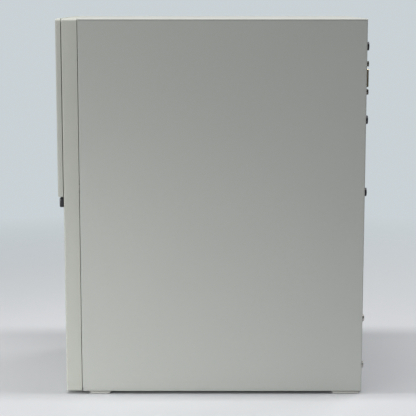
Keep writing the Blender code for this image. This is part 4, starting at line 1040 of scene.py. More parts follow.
def make_usb_and_network():
    low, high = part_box("usb_ports")
    z = (low.z + high.z) / 2
    shape = Shape()
    places = (high.x - 0.0043, high.x - 0.0117)
    mouths = [rounded((x - 0.0030, z - 0.0067), (x + 0.0030, z + 0.0067), 0.0008) for x in places]
    shape.prism(
        "XZ", rounded((low.x, low.z), (high.x, high.z), 0.0008), low.y, high.y, "plated_steel", mouths, 0.0002
    )
    for x in places:
        add_rear_usb(shape, x, z, high.y - 0.0002)
    shape.object("usb_pair", "chassis", ["usb_ports"], "shield_steel")

    low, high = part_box("network_port")
    z = (low.z + high.z) / 2
    shape = Shape()
    places = (high.x - 0.0043, high.x - 0.0110)
    jack = (high.x - 0.0218, z)
    mouths = [rounded((x - 0.0030, z - 0.0067), (x + 0.0030, z + 0.0067), 0.0008) for x in places]
    mouths.append(rounded((jack[0] - 0.0058, z - 0.0066), (jack[0] + 0.0058, z + 0.0066), 0.0006))
    shape.prism(
        "XZ", rounded((low.x, low.z), (high.x, high.z), 0.0008), low.y, high.y, "plated_steel", mouths, 0.0002
    )
    for x in places:
        add_rear_usb(shape, x, z, high.y - 0.0002)
    opening = [(jack[0] - 0.0044, z - 0.0058), (jack[0] + 0.0030, z - 0.0058), (jack[0] + 0.0030, z - 0.0032)]
    opening += [
        (jack[0] + 0.0050, z - 0.0032), (jack[0] + 0.0050, z + 0.0032), (jack[0] + 0.0030, z + 0.0032)
    ]
    opening += [(jack[0] + 0.0030, z + 0.0058), (jack[0] - 0.0044, z + 0.0058)]
    block = rectangle((jack[0] - 0.0057, z - 0.0065), (jack[0] + 0.0057, z + 0.0065))
    shape.prism("XZ", block, high.y - 0.0130, high.y - 0.0004, "chip_black", [opening])
    shape.prism("XZ", block, high.y - 0.0138, high.y - 0.0130, "chip_black")
    for index in range(8):
        level = z - 0.00355 + 0.00102 * index
        start, stop = (jack[0] - 0.0040, high.y - 0.0110), (jack[0] - 0.0015, high.y - 0.0045)
        shape.box((start[0], start[1], level - 0.0002), (stop[0], stop[1], level + 0.0002), "gold")
    for level, finish in ((z - 0.0048, "jack_green"), (z + 0.0048, "wire_orange")):
        shape.box(
            (jack[0] - 0.0056, high.y - 0.0010, level - 0.0013),
            (jack[0] - 0.0047, high.y - 0.0001, level + 0.0013), finish, 0.0002
        )
    shape.object("network_socket", "chassis", ["network_port"], "shield_steel")


def make_audio():
    low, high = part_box("audio_ports")
    z = (low.z + high.z) / 2
    shape = Shape()
    places = [high.x - 0.0060 - 0.0115 * index for index in range(3)]
    holes = [circle((x, z), 0.0042, 28) for x in places]
    shape.prism(
        "XZ", rounded((low.x, low.z), (high.x, high.z), 0.0010), low.y, high.y - 0.0004, "chip_black", holes,
        0.0003
    )
    for x, finish in zip(places, ("jack_blue", "jack_green", "jack_pink")):
        profile = [
            (0.0018, -0.012), (0.0018, -0.0003), (0.0021, 0.0), (0.0037, 0.0), (0.0041, -0.0004),
            (0.0041, -0.012)
        ]
        shape.lathe((x, high.y, z), (0, 1, 0), [*profile, profile[0]], finish, 28)
        sleeve = [
            (0.00175, -0.0020), (0.0018, -0.0020), (0.0018, -0.0100), (0.00175, -0.0100), (0.00175, -0.0020)
        ]
        shape.lathe((x, high.y, z), (0, 1, 0), sleeve, "plated_steel", 20)
        shape.lathe(
            (x, high.y - 0.0118, z), (0, 1, 0), [(0, 0), (0.0040, 0), (0.0040, -0.0008), (0, -0.0008)],
            "chip_black", 20
        )
    return shape.object("audio_sockets", "chassis", ["audio_ports"], "connector_plastic")


def make_slot_covers():
    for number, (low, high) in enumerate(COVERS, 1):
        level, half = (low.z + high.z) / 2, (high.z - low.z) / 2 - 0.0001
        path = [
            (high.x, high.y), (low.x + 0.0012, high.y),
            *arc((low.x + 0.0012, high.y - 0.0012), 0.0012, 90, 180, 4), (low.x, low.y)
        ]
        shape = Shape()
        shape.prism(
            "XY", strip_outline(path, 0.0008), level - half, level + half, "zinc_steel", bevel=0.00015
        )
        shape.box(
            (-0.0425, high.y - 0.0003, level - 0.0045), (0.0620, high.y + 0.0003, level + 0.0045),
            "zinc_steel", 0.0003
        )
        shape.lathe(
            (high.x - 0.003, high.y - 0.0009, level), (0, 1, 0),
            [(0, 0), (0.0016, 0), (0.0016, -0.0010), (0, -0.0010)], "zinc_steel", 16
        )
        shape.object(f"slot_blank_{number}", "chassis", [f"slot_cover_{number}"], "zinc_steel")


def make_slot_retainer():
    low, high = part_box("slot_latch")
    shape = Shape()
    inner, outer = high.x, low.x
    outline = [(inner, high.y - 0.0115), (inner, high.y - 0.0022), (inner - 0.0030, high.y), (outer, high.y)]
    outline += [(outer, high.y - 0.0055), (inner - 0.0020, low.y)]
    shape.prism("XY", outline, low.z, high.z, "retainer_blue", bevel=0.0005)
    count = 7
    for rib in range(count):
        level = low.z + 0.004 + (high.z - low.z - 0.008) * rib / (count - 1)
        shape.box(
            (outer - 0.0002, high.y - 0.0052, level - 0.0008),
            (outer + 0.0012, high.y - 0.0004, level + 0.0008), "retainer_blue", 0.0003
        )
    return shape.object("slot_retainer", "slot_latch", ["slot_latch"], "retainer_plastic")


def supply_plate(shape, start, end, holes):
    low, high = SUPPLY_LOW, SUPPLY_HIGH
    outline = rounded((low.x + 0.0009, low.z + 0.0009), (high.x - 0.0009, high.z - 0.0009), 0.0008)
    shape.prism("XZ", outline, start, end, "zinc_steel", holes)


def make_power_supply():
    """A folded case with a fan grille at the rear, slots at the front, and the parts that show through."""
    low, high = SUPPLY_LOW, SUPPLY_HIGH
    shape = Shape()
    outer = rounded((low.x, low.z), (high.x, high.z), 0.0012)
    inner = rounded((low.x + 0.0009, low.z + 0.0009), (high.x - 0.0009, high.z - 0.0009), 0.0006)
    shape.prism("XZ", outer, low.y, high.y, "zinc_steel", [inner])
    inlet = rounded(
        (INLET_LOW.x - 0.0003, INLET_LOW.z - 0.0003), (INLET_HIGH.x + 0.0003, INLET_HIGH.z + 0.0003), 0.001
    )
    supply_plate(
        shape, high.y - 0.0010, high.y - 0.0001,
        hexagons((SUPPLY_FAN.x, SUPPLY_FAN.z), 0.0290, 0.0052, 0.0026) + [inlet]
    )
    slots = [
        rounded(
            (-0.026, level), (0.026, level + 0.0045), 0.002
        ) for level in (0.0195, 0.0275, 0.0355, 0.0435, 0.0515, 0.0595)
    ]
    exit_hole = circle((0.0550, 0.0620), 0.0075, 28)
    supply_plate(shape, low.y + 0.0001, low.y + 0.0010, slots + [exit_hole])
    ring = [
        (0.0048, -0.0012), (0.0070, -0.0012), (0.0074, 0.0), (0.0088, 0.0), (0.0088, 0.0016),
        (0.0070, 0.0026), (0.0048, 0.0026), (0.0048, -0.0012)
    ]
    shape.lathe((0.0550, low.y + 0.0013, 0.0620), (0, -1, 0), ring, "grommet", 28)
    for x in (low.x + 0.010, high.x - 0.010):
        shape.box(
            (x - 0.006, low.y + 0.020, high.z - 0.0002), (x + 0.006, low.y + 0.032, high.z), "zinc_steel",
            0.0001
        )
    shape.object("supply_case", "chassis", ["power_supply_case"], "zinc_steel")

    parts = Shape()
    floor = low.z + 0.0060
    parts.box(
        (low.x + 0.006, low.y + 0.006, floor), (high.x - 0.006, 0.100, floor + 0.0016), "ceramic", 0.0002
    )
    for x in (-0.045, 0.010):
        parts.box((x, 0.014, floor + 0.002), (x + 0.003, 0.092, floor + 0.050), "brushed_aluminium", 0.0003)
        for fin in range(8):
            y = 0.018 + 0.009 * fin
            parts.box((x - 0.006, y, floor + 0.012), (x, y + 0.0012, floor + 0.048), "brushed_aluminium")
    parts.box((-0.030, 0.030, floor + 0.0016), (0.002, 0.062, floor + 0.036), "wire_yellow", 0.003)
    parts.box((-0.027, 0.028, floor + 0.004), (-0.001, 0.064, floor + 0.032), "ferrite", 0.002)
    for x, y in ((0.030, 0.030), (0.052, 0.030), (0.040, 0.055)):
        can = [(0, 0), (0.0088, 0), (0.0090, 0.0004), (0.0090, 0.030), (0.0084, 0.0306), (0, 0.0304)]
        parts.lathe((x, y, floor + 0.0016), (0, 0, 1), can, "chip_black", 24)
    coil = [
        (0.0045, 0.0), (0.0105, 0.0), (0.0112, 0.002), (0.0112, 0.010), (0.0105, 0.012), (0.0045, 0.012),
        (0.0045, 0.0)
    ]
    parts.lathe((0.030, 0.082, floor + 0.002), (0, 0, 1), coil, "wire_orange", 24)
    parts.merge(
        fan_frame(0.030, 0.0285, 0.014),
        facing((SUPPLY_FAN.x, SUPPLY_FAN.y - 0.0015, SUPPLY_FAN.z), (0, -1, 0), (1, 0, 0))
    )
    return parts.object("supply_parts", "chassis", slot="black_plastic")


def make_inlet():
    low, high = INLET_LOW, INLET_HIGH
    x, z = (low.x + high.x) / 2, (low.z + high.z) / 2
    shape = Shape()
    outer = rounded((low.x, low.z), (high.x, high.z), 0.0020)
    mouth = eased(
        [
            (x - 0.0120, z - 0.0040), (x - 0.0080, z - 0.0082), (x + 0.0080, z - 0.0082),
            (x + 0.0120, z - 0.0040), (x + 0.0120, z + 0.0082), (x - 0.0120, z + 0.0082)
        ],
        0.0012
    )
    shape.prism("XZ", outer, low.y + 0.0028, high.y, "cable_black", [mouth], 0.0004)
    shape.prism("XZ", outer, low.y, low.y + 0.0028, "cable_black")
    for dx, dz in ((-0.0070, 0.0020), (0.0, -0.0020), (0.0070, 0.0020)):
        shape.box(
            (x + dx - 0.0010, low.y + 0.0020, z + dz - 0.0020),
            (x + dx + 0.0010, high.y - 0.0020, z + dz + 0.0020), "plated_steel", 0.0004
        )
    return shape.object("mains_socket", "chassis", ["power_inlet"], "connector_plastic")


# Fans.


def fan_frame(half, bore, depth, screws=0.86):
    """A square frame: two flanges, a round duct and a motor seat on four struts at the +Z end."""
    shape = Shape()
    outline = rounded((-half, -half), (half, half), half * 0.09)
    hole = circle((0, 0), bore, 64)
    bolts = [
        circle((x * half * screws, y * half * screws), half * 0.05, 16) for x in (-1, 1) for y in (-1, 1)
    ]
    thick = min(0.0035, depth * 0.2)
    for start in (-depth / 2, depth / 2 - thick):
        shape.prism("XY", outline, start, start + thick, "fan_black", [hole, *bolts])
    wall = 0.0012
    duct = [(bore, -depth / 2 + thick / 2), (bore + wall, -depth / 2 + thick / 2)]
    duct += [(bore + wall, depth / 2 - thick / 2), (bore, depth / 2 - thick / 2)]
    shape.lathe((0, 0, 0), (0, 0, 1), [*duct, duct[0]], "fan_black", 64)
    for x, y in ((-1, -1), (-1, 1), (1, -1), (1, 1)):
        post = circle((x * half * screws, y * half * screws), half * 0.085, 16)
        shape.prism(
            "XY", post, -depth / 2 + thick / 2, depth / 2 - thick / 2, "fan_black",
            [circle((x * half * screws, y * half * screws), half * 0.05, 16)]
        )
    seat = half * 0.38
    top = depth / 2 - 0.0001
    shape.lathe(
        (0, 0, top - 0.0018), (0, 0, 1),
        [(0, 0), (seat, 0), (seat, 0.0014), (seat - 0.0004, 0.0018), (0, 0.0018)], "fan_black", 40
    )
    for strut in range(4):
        angle = radians(45 + 90 * strut)
        inner, outer = Vector((seat * 0.9, 0.0)), Vector((bore + 0.0004, 0.0))
        turn = Matrix.Rotation(angle, 2)
        bend = Matrix.Rotation(angle + 0.22, 2)
        start, stop = turn @ inner, bend @ outer
        across = Vector((-(stop - start).y, (stop - start).x)).normalized() * 0.0011
        outline = [tuple(start - across), tuple(stop - across), tuple(stop + across), tuple(start + across)]
        shape.prism("XY", outline, top - 0.0020, top - 0.0002, "fan_black", bevel=0.0003)
    return shape


def fan_rotor(radius, hub, depth, blades=9):
    """Curved, twisted blades on a capped hub, turning about Z with its cap towards -Z."""
    shape = Shape()
    half = depth / 2
    cap = [
        (0, -half), (hub * 0.86, -half), (hub * 0.96, -half + hub * 0.05), (hub, -half + hub * 0.16),
        (hub, half), (hub * 0.92, half), (hub * 0.92, half - 0.001), (0, half - 0.001)
    ]
    shape.lathe((0, 0, 0), (0, 0, 1), cap, "fan_black", 48)
    shape.lathe(
        (0, 0, 0), (0, 0, 1),
        [
            (0, -half - 0.0001), (hub * 0.62, -half - 0.0001), (hub * 0.62, -half + 0.0003),
            (0, -half + 0.0003)
        ],
        "label_paper", 40
    )
    spans, chords = 6, 8
    share = 2 * pi / blades
    for blade in range(blades):
        part = bmesh.new()
        sheets = []
        for side in (-1, 1):
            rows = []
            for span in range(spans + 1):
                reach = span / spans
                r = hub * 0.97 + (radius - hub * 0.97) * reach
                row = []
                for chord in range(chords + 1):
                    along = chord / chords
                    width = share * (0.82 + 0.06 * reach)
                    angle = blade * share + 0.30 * reach**2 + width * along
                    rise = half * 0.86 * (1 - 2 * along) * (1 - 0.22 * reach) - half * 0.30 * sin(pi * along)
                    thick = 0.00055 * sin(pi * min(max(along, 0.06), 0.94)) + 0.00018
                    row.append(part.verts.new((r * cos(angle), r * sin(angle), rise + side * thick)))
                rows.append(row)
            sheets.append(rows)
        for rows in sheets:
            for near, far in zip(rows, rows[1:]):
                for index in range(chords):
                    part.faces.new((near[index], near[index + 1], far[index + 1], far[index]))
        lower, upper = sheets
        ring_low = lower[0] + [row[-1] for row in lower[1:]] + lower[-1][-2::-1] + [
            row[0] for row in lower[-2:0:-1]
        ]
        ring_up = upper[0] + [row[-1] for row in upper[1:]] + upper[-1][-2::-1] + [
            row[0] for row in upper[-2:0:-1]
        ]
        bridge(part, ring_low, ring_up)
        shape.adopt(part, "fan_black")
    return shape


def make_fans():
    frame_low, frame_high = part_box("rear_fan_frame")
    centre = mid("rear_fan_frame")
    half = (frame_high.x - frame_low.x) / 2
    depth = frame_high.y - frame_low.y
    Shape().merge(
        fan_frame(half, half - 0.002, depth), facing(centre, (0, -1, 0), (1, 0, 0))
    ).object("rear_fan_housing", "chassis", ["rear_fan_frame"], "black_plastic")
    place = mid("rear_fan_rotor")
    Shape().merge(
        fan_rotor(0.0425, 0.0170, 0.0170), facing(place, (0, -1, 0), (1, 0, 0))
    ).object("rear_fan_blades", "rear_fan", ["rear_fan_rotor"], "black_plastic")
    place = mid("power_supply_fan_rotor")
    Shape().merge(fan_rotor(0.0275, 0.0110, 0.0105, 7), facing(place, (0, -1, 0), (1, 0, 0))).object(
        "supply_fan_blades", "power_supply_fan", ["power_supply_fan_rotor"], "black_plastic"
    )
    frame_low, frame_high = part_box("cpu_fan_frame")
    centre = mid("cpu_fan_frame")
    half = (frame_high.z - frame_low.z) / 2
    depth = frame_high.x - frame_low.x
    Shape().merge(
        fan_frame(half, half - 0.002, depth), facing(centre, (-1, 0, 0), (0, 1, 0))
    ).object("cpu_fan_housing", "chassis", ["cpu_fan_frame"], "black_plastic")
    place = mid("cpu_fan_rotor")
    Shape().merge(
        fan_rotor(0.0365, 0.0150, 0.0095, 7), facing(place, (-1, 0, 0), (0, 1, 0))
    ).object("cpu_fan_blades", "cpu_fan", ["cpu_fan_rotor"], "black_plastic")


make_rear_wall()
make_rear_screws()
make_shield()
make_vga()
make_display_port()
make_usb_and_network()
make_audio()
make_slot_covers()
make_slot_retainer()
make_power_supply()
make_inlet()
make_fans()


# The motherboard and what stands on it. Its component side faces -X.

BOARD_LOW, BOARD_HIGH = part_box("motherboard")
POSTS = [(y, z) for y in (-0.0400, 0.0450, 0.1260) for z in (0.0985, 0.2000, 0.3115)]
PLUG_LOW, PLUG_HIGH = Vector((0.0480, -0.0416, 0.1790)), Vector((0.0600, -0.0322, 0.2310))
SLOT_LEVELS = [(low.z + high.z) / 2 for low, high in COVERS]


def stand(shape, other, y, z, turned=False):
    """Sets a part on the board: its +Z away from the board and its +Y up, or turned a quarter."""
    right = (0, 0, 1) if turned else (0, -1, 0)
    return shape.merge(other, facing((BOARD_FACE + 0.0001, y, z), (-1, 0, 0), right))


def capacitor(radius, height):
    shape = Shape()
    shape.prism("XY", rounded((-radius, -radius), (radius, radius), 0.0006), 0, 0.0006, "chip_black")
    can = [
        (0, 0.0005), (radius * 0.9, 0.0005), (radius * 0.9, 0.0014), (radius * 0.82, 0.0018),
        (radius * 0.9, 0.0022)
    ]
    can += [
        (radius * 0.9, height - 0.0004), (radius * 0.84, height), (radius * 0.78, height - 0.0001),
        (0, height - 0.0001)
    ]
    shape.lathe((0, 0, 0), (0, 0, 1), can, "brushed_aluminium", 24)
    segment = arc((0, 0), radius * 0.76, 60, 120, 6)
    shape.prism("XY", segment, height - 0.0002, height + 0.0001, "retainer_blue")
    return shape


def choke(half, height):
    shape = Shape()
    shape.box((-half, -half, 0.0003), (half, half, height), "ferrite", 0.0007)
    for x in (-half * 0.95, half * 0.75):
        shape.box((x, -half * 0.35, 0), (x + half * 0.2, half * 0.35, height * 0.55), "solder", 0.0001)
    return shape


def chip(width, length, height, pins, sides=2):
    """A packaged chip with bent legs on two or four sides."""
    shape = Shape()
    shape.box((-width / 2, -length / 2, 0.0002), (width / 2, length / 2, height), "chip_black", 0.0002)
    shape.lathe(
        (-width / 2 + 0.0011, length / 2 - 0.0011, height - 0.00005), (0, 0, 1),
        [(0, 0.0001), (0.0004, 0.0001), (0.0004, 0)], "ferrite", 12
    )
    for side in range(sides):
        turn = Matrix.Rotation(radians(90 * side if sides == 4 else 180 * side), 4, "Z")
        reach, span = (width / 2, length) if sides == 2 or side % 2 == 0 else (length / 2, width)
        for pin in range(pins):
            level = -span / 2 + span * (pin + 0.5) / pins
            half = span / pins * 0.22
            leg = Shape()
            path = [
                (reach + 0.0011, 0.0), (reach + 0.0005, 0.0), (reach + 0.0003, height * 0.5),
                (reach - 0.0001, height * 0.5)
            ]
            leg.prism("XZ", strip_outline(path, 0.00015), level - half, level + half, "solder")
            shape.merge(leg, turn)
    return shape


def header(columns, rows, pitch=0.00254, height=0.0058):
    """Pins that stand in a plastic base."""
    shape = Shape()
    width, length = rows * pitch, columns * pitch
    shape.box((-width / 2, -length / 2, 0), (width / 2, length / 2, 0.0022), "chip_black", 0.0002)
    for row in range(rows):
        for column in range(columns):
            x, y = (row + 0.5) * pitch - width / 2, (column + 0.5) * pitch - length / 2
            shape.box((x - 0.0003, y - 0.0003, 0.0020), (x + 0.0003, y + 0.0003, height), "gold", 0.0001)
    return shape


def shrouded(width, length, height, finish, wall=0.0008):
    """A socket with an open box of plastic round its contacts."""
    shape = Shape()
    outer = rounded((-width / 2, -length / 2), (width / 2, length / 2), 0.0004)
    inner = rounded((-width / 2 + wall, -length / 2 + wall), (width / 2 - wall, length / 2 - wall), 0.0003)
    shape.prism("XY", outer, 0, height, finish, [inner])
    shape.prism("XY", inner, 0, height * 0.25, finish)
    return shape


def edge_slot(length, height, finish, key):
    """A card slot: a long body with a grooved mouth, a key bar and rows of contacts."""
    shape = Shape()
    half = 0.0037
    outer = rounded((-half, -length / 2), (half, length / 2), 0.0005)
    near = rounded((-0.0010, -length / 2 + 0.0025), (0.0010, key - 0.0008), 0.0002)
    far = rounded((-0.0010, key + 0.0008), (0.0010, length / 2 - 0.0025), 0.0002)
    shape.prism("XY", outer, 0.0030, height, finish, [near, far], 0.0002)
    shape.prism("XY", outer, 0.0, 0.0030, finish)
    count = int(length / 0.0020) - 3
    for index in range(count):
        y = -length / 2 + 0.0035 + 0.0020 * index
        if abs(y - key) > 0.0016:
            for x in (-0.0011, 0.0008):
                shape.box((x, y - 0.00035, 0.0030), (x + 0.0003, y + 0.00035, height - 0.0008), "gold")
    return shape


def small_parts(shape, y, z, columns, rows, pitch_y, pitch_z, turned=False):
    """Rows of small two-ended parts soldered flat."""
    half = (0.0005, 0.0010) if turned else (0.0010, 0.0005)
    for column in range(columns):
        for row in range(rows):
            if (column * 7 + row * 5) % 6 == 4:
                continue
            place_y, place_z = y + pitch_y * column, z + pitch_z * row
            body = "ceramic" if (column + row * 2) % 3 else "chip_black"
            low = (BOARD_FACE - 0.0006, place_y - half[0], place_z - half[1])
            shape.box(low, (BOARD_FACE + 0.0001, place_y + half[0], place_z + half[1]), "solder", 0.0001)
            inner = (half[0] * (1.02 if turned else 0.55), half[1] * (0.55 if turned else 1.02))
            low = (BOARD_FACE - 0.00065, place_y - inner[0], place_z - inner[1])
            shape.box(low, (BOARD_FACE, place_y + inner[0], place_z + inner[1]), body)


def make_motherboard():
    low, high = BOARD_LOW, BOARD_HIGH
    shape = Shape()
    holes = [circle(place, 0.0017, 16) for place in POSTS]
    shape.prism("YZ", rectangle((low.y, low.z), (high.y, high.z)), low.x, high.x, "circuit_board", holes)
    for index, (y, z) in enumerate(POSTS):
        ring = circle((y, z), 0.0042, 28)
        shape.prism("YZ", ring, low.x - 0.0001, low.x, "solder", [circle((y, z), 0.0018, 16)])
        turn = radians(31 * index)
        bolt = screw(0.0030, 0.0018, "plated_steel", domed=True, shank=0.0040)
        shape.merge(bolt, facing((low.x - 0.0002, y, z), (-1, 0, 0), (0, cos(turn), sin(turn))))
    shape.object("main_board", "chassis", ["motherboard"], "circuit_board")


def make_board_parts():
    shape = Shape()
    for index, level in enumerate((0.2260, 0.2390, 0.2520, 0.2650, 0.2780)):
        stand(shape, choke(0.0045, 0.0050), 0.1080, level)
        stand(shape, capacitor(0.0034, 0.0085), 0.1155, level + 0.0030)
        stand(shape, chip(0.0050, 0.0060, 0.0012, 4), 0.0990 + 0.0002 * index, level)
    for y in (0.0300, 0.0400, 0.0500, 0.0860):
        stand(shape, capacitor(0.0032, 0.0080), y, 0.2965)
    for y, z in ((-0.0420, 0.2420), (-0.0420, 0.1700), (0.0060, 0.2930), (0.0920, 0.1640), (0.1000, 0.1640)):
        stand(shape, capacitor(0.0030, 0.0080), y, z)
    stand(shape, chip(0.0200, 0.0200, 0.0022, 14, 4), 0.1050, 0.1960)
    stand(shape, chip(0.0090, 0.0090, 0.0012, 12, 4), 0.1060, 0.1790)
    stand(shape, chip(0.0075, 0.0050, 0.0016, 4), 0.0120, 0.1000)
    stand(shape, chip(0.0110, 0.0110, 0.0014, 12, 4), 0.0700, 0.1700)
    stand(
        shape, shrouded(0.0094, 0.0520, BOARD_FACE - PLUG_HIGH.x, "connector_white"),
        (PLUG_LOW.y + PLUG_HIGH.y) / 2, (PLUG_LOW.z + PLUG_HIGH.z) / 2
    )
    stand(shape, shrouded(0.0090, 0.0090, 0.0110, "connector_white"), 0.0960, 0.3050)
    for index, z in enumerate((0.1080, 0.1220, 0.1360)):
        stand(
            shape, shrouded(0.0065, 0.0120, 0.0048, "wire_red" if index % 2 else "cable_black"), -0.0280, z,
            turned=False
        )
    stand(shape, header(5, 2, height=0.0048), -0.0420, 0.1050)
    stand(shape, header(5, 2), 0.0260, 0.0990)
    stand(shape, header(5, 2), 0.0520, 0.0990)
    stand(shape, header(4, 1), 0.1150, 0.3080)
    stand(shape, header(4, 1), 0.0040, 0.3080)
    slots = (
        (SLOT_LEVELS[0], 0.0890, "fan_black", 0.0110), (SLOT_LEVELS[1], 0.0250, "fan_black", 0.0110),
        (SLOT_LEVELS[2], 0.0840, "connector_white", 0.0110)
    )
    for level, length, finish, height in slots:
        stand(
            shape, edge_slot(length, height, finish, length / 2 - 0.0140), 0.0850 - length / 2, level,
            turned=True
        )
    cell = [(0, 0.0032), (0.0098, 0.0032), (0.0100, 0.0029), (0.0100, 0.0), (0, 0)]
    battery = Shape()
    battery.lathe((0, 0, 0.0012), (0, 0, 1), cell, "plated_steel", 40)
    battery.lathe(
        (0, 0, 0), (0, 0, 1), [(0.0102, 0), (0.0118, 0), (0.0118, 0.0030), (0.0102, 0.0030), (0.0102, 0)],
        "fan_black", 40
    )
    battery.box((-0.0030, 0.0080, 0.0030), (0.0030, 0.0118, 0.0052), "plated_steel", 0.0003)
    stand(shape, battery, 0.0560, 0.1370)
    cooler = Shape()
    cooler.box((-0.0170, -0.0170, 0.0012), (0.0170, 0.0170, 0.0032), "brushed_aluminium", 0.0003)
    for fin in range(13):
        x = -0.0164 + 0.0027 * fin
        cooler.box((x, -0.0168, 0.0030), (x + 0.0008, 0.0168, 0.0105), "brushed_aluminium")
    cooler.box((-0.0125, -0.0125, 0), (0.0125, 0.0125, 0.0014), "chip_black", 0.0002)
    for x, y in ((-0.0150, 0.0150), (0.0150, -0.0150)):
        cooler.lathe(
            (x, y, 0), (0, 0, 1),
            [(0, 0.0125), (0.0016, 0.0122), (0.0020, 0.0112), (0.0012, 0.0105), (0.0012, 0), (0, 0)],
            "connector_white", 16
        )
    stand(shape, cooler, 0.0220, 0.1280)
    crystal = Shape()
    crystal.prism(
        "XY", rounded((-0.0022, -0.0055), (0.0022, 0.0055), 0.0021), 0.0002, 0.0034, "plated_steel",
        bevel=0.0004
    )
    stand(shape, crystal, 0.0820, 0.1700)
    small_parts(shape, 0.0880, 0.2130, 7, 4, 0.0040, 0.0026)
    small_parts(shape, -0.0040, 0.2830, 9, 5, 0.0042, 0.0030, True)
    small_parts(shape, -0.0440, 0.2500, 4, 14, 0.0040, 0.0042)
    small_parts(shape, 0.0060, 0.1550, 14, 4, 0.0042, 0.0034, True)
    small_parts(shape, -0.0440, 0.1180, 3, 12, 0.0044, 0.0040)
    small_parts(shape, 0.0760, 0.1860, 4, 6, 0.0040, 0.0034, True)
    small_parts(shape, 0.0400, 0.1120, 10, 2, 0.0040, 0.0030)
    small_parts(shape, 0.0050, 0.1900, 3, 24, 0.0042, 0.0040)
    return shape.object("board_parts", "chassis", slot="circuit_board")


def make_cooler():
    """Thin upright fins on a base, a socket underneath and four posts at the corners."""
    low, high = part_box("cpu_heatsink")
    y, z = (low.y + high.y) / 2, (low.z + high.z) / 2
    base = BOARD_FACE - 0.0080
    shape = Shape()
    shape.box(
        (base - 0.0050, low.y + 0.0030, low.z + 0.0030), (base, high.y - 0.0030, high.z - 0.0030),
        "brushed_aluminium", 0.0006
    )
    shape.box(
        (base - 0.0005, y - 0.018, z - 0.018), (BOARD_FACE - 0.0012, y + 0.018, z + 0.018),
        "brushed_aluminium", 0.0006
    )
    fins = 25
    for fin in range(fins):
        place = low.y + 0.0002 + (high.y - low.y - 0.0010) * fin / (fins - 1)
        shape.box(
            (low.x, place, low.z), (base - 0.0045, place + 0.0006, high.z), "brushed_aluminium", 0.0001, 1
        )
    shape.object("cooler_fins", "chassis", ["cpu_heatsink"], "aluminium")
    socket = Shape()
    ring = rounded((y - 0.0230, z - 0.0260), (y + 0.0230, z + 0.0260), 0.0015)
    inner = rounded((y - 0.0186, z - 0.0186), (y + 0.0186, z + 0.0186), 0.0010)
    socket.prism("YZ", ring, BOARD_FACE - 0.0040, BOARD_FACE, "cable_black", [inner], 0.0003)
    plate = rounded((y - 0.0215, z - 0.0225), (y + 0.0215, z + 0.0225), 0.0020)
    socket.prism("YZ", plate, BOARD_FACE - 0.0052, BOARD_FACE - 0.0039, "plated_steel", [inner], 0.0002)
    lever = [
        (BOARD_FACE - 0.0046, y + 0.0245, z + 0.0200), (BOARD_FACE - 0.0046, y + 0.0245, z - 0.0270),
        (BOARD_FACE - 0.0046, y + 0.0150, z - 0.0275)
    ]
    socket.tube(lever, 0.0008, "plated_steel")
    for dy in (-0.0360, 0.0360):
        for dz in (-0.0360, 0.0360):
            post = [
                (0, 0.0078), (0.0040, 0.0078), (0.0044, 0.0070), (0.0032, 0.0050), (0.0032, 0.0012),
                (0.0046, 0.0008), (0.0046, 0), (0, 0)
            ]
            socket.lathe((BOARD_FACE, y + dy, z + dz), (-1, 0, 0), post, "fan_black", 24)
    return socket.object("cooler_socket", "chassis", slot="black_plastic")


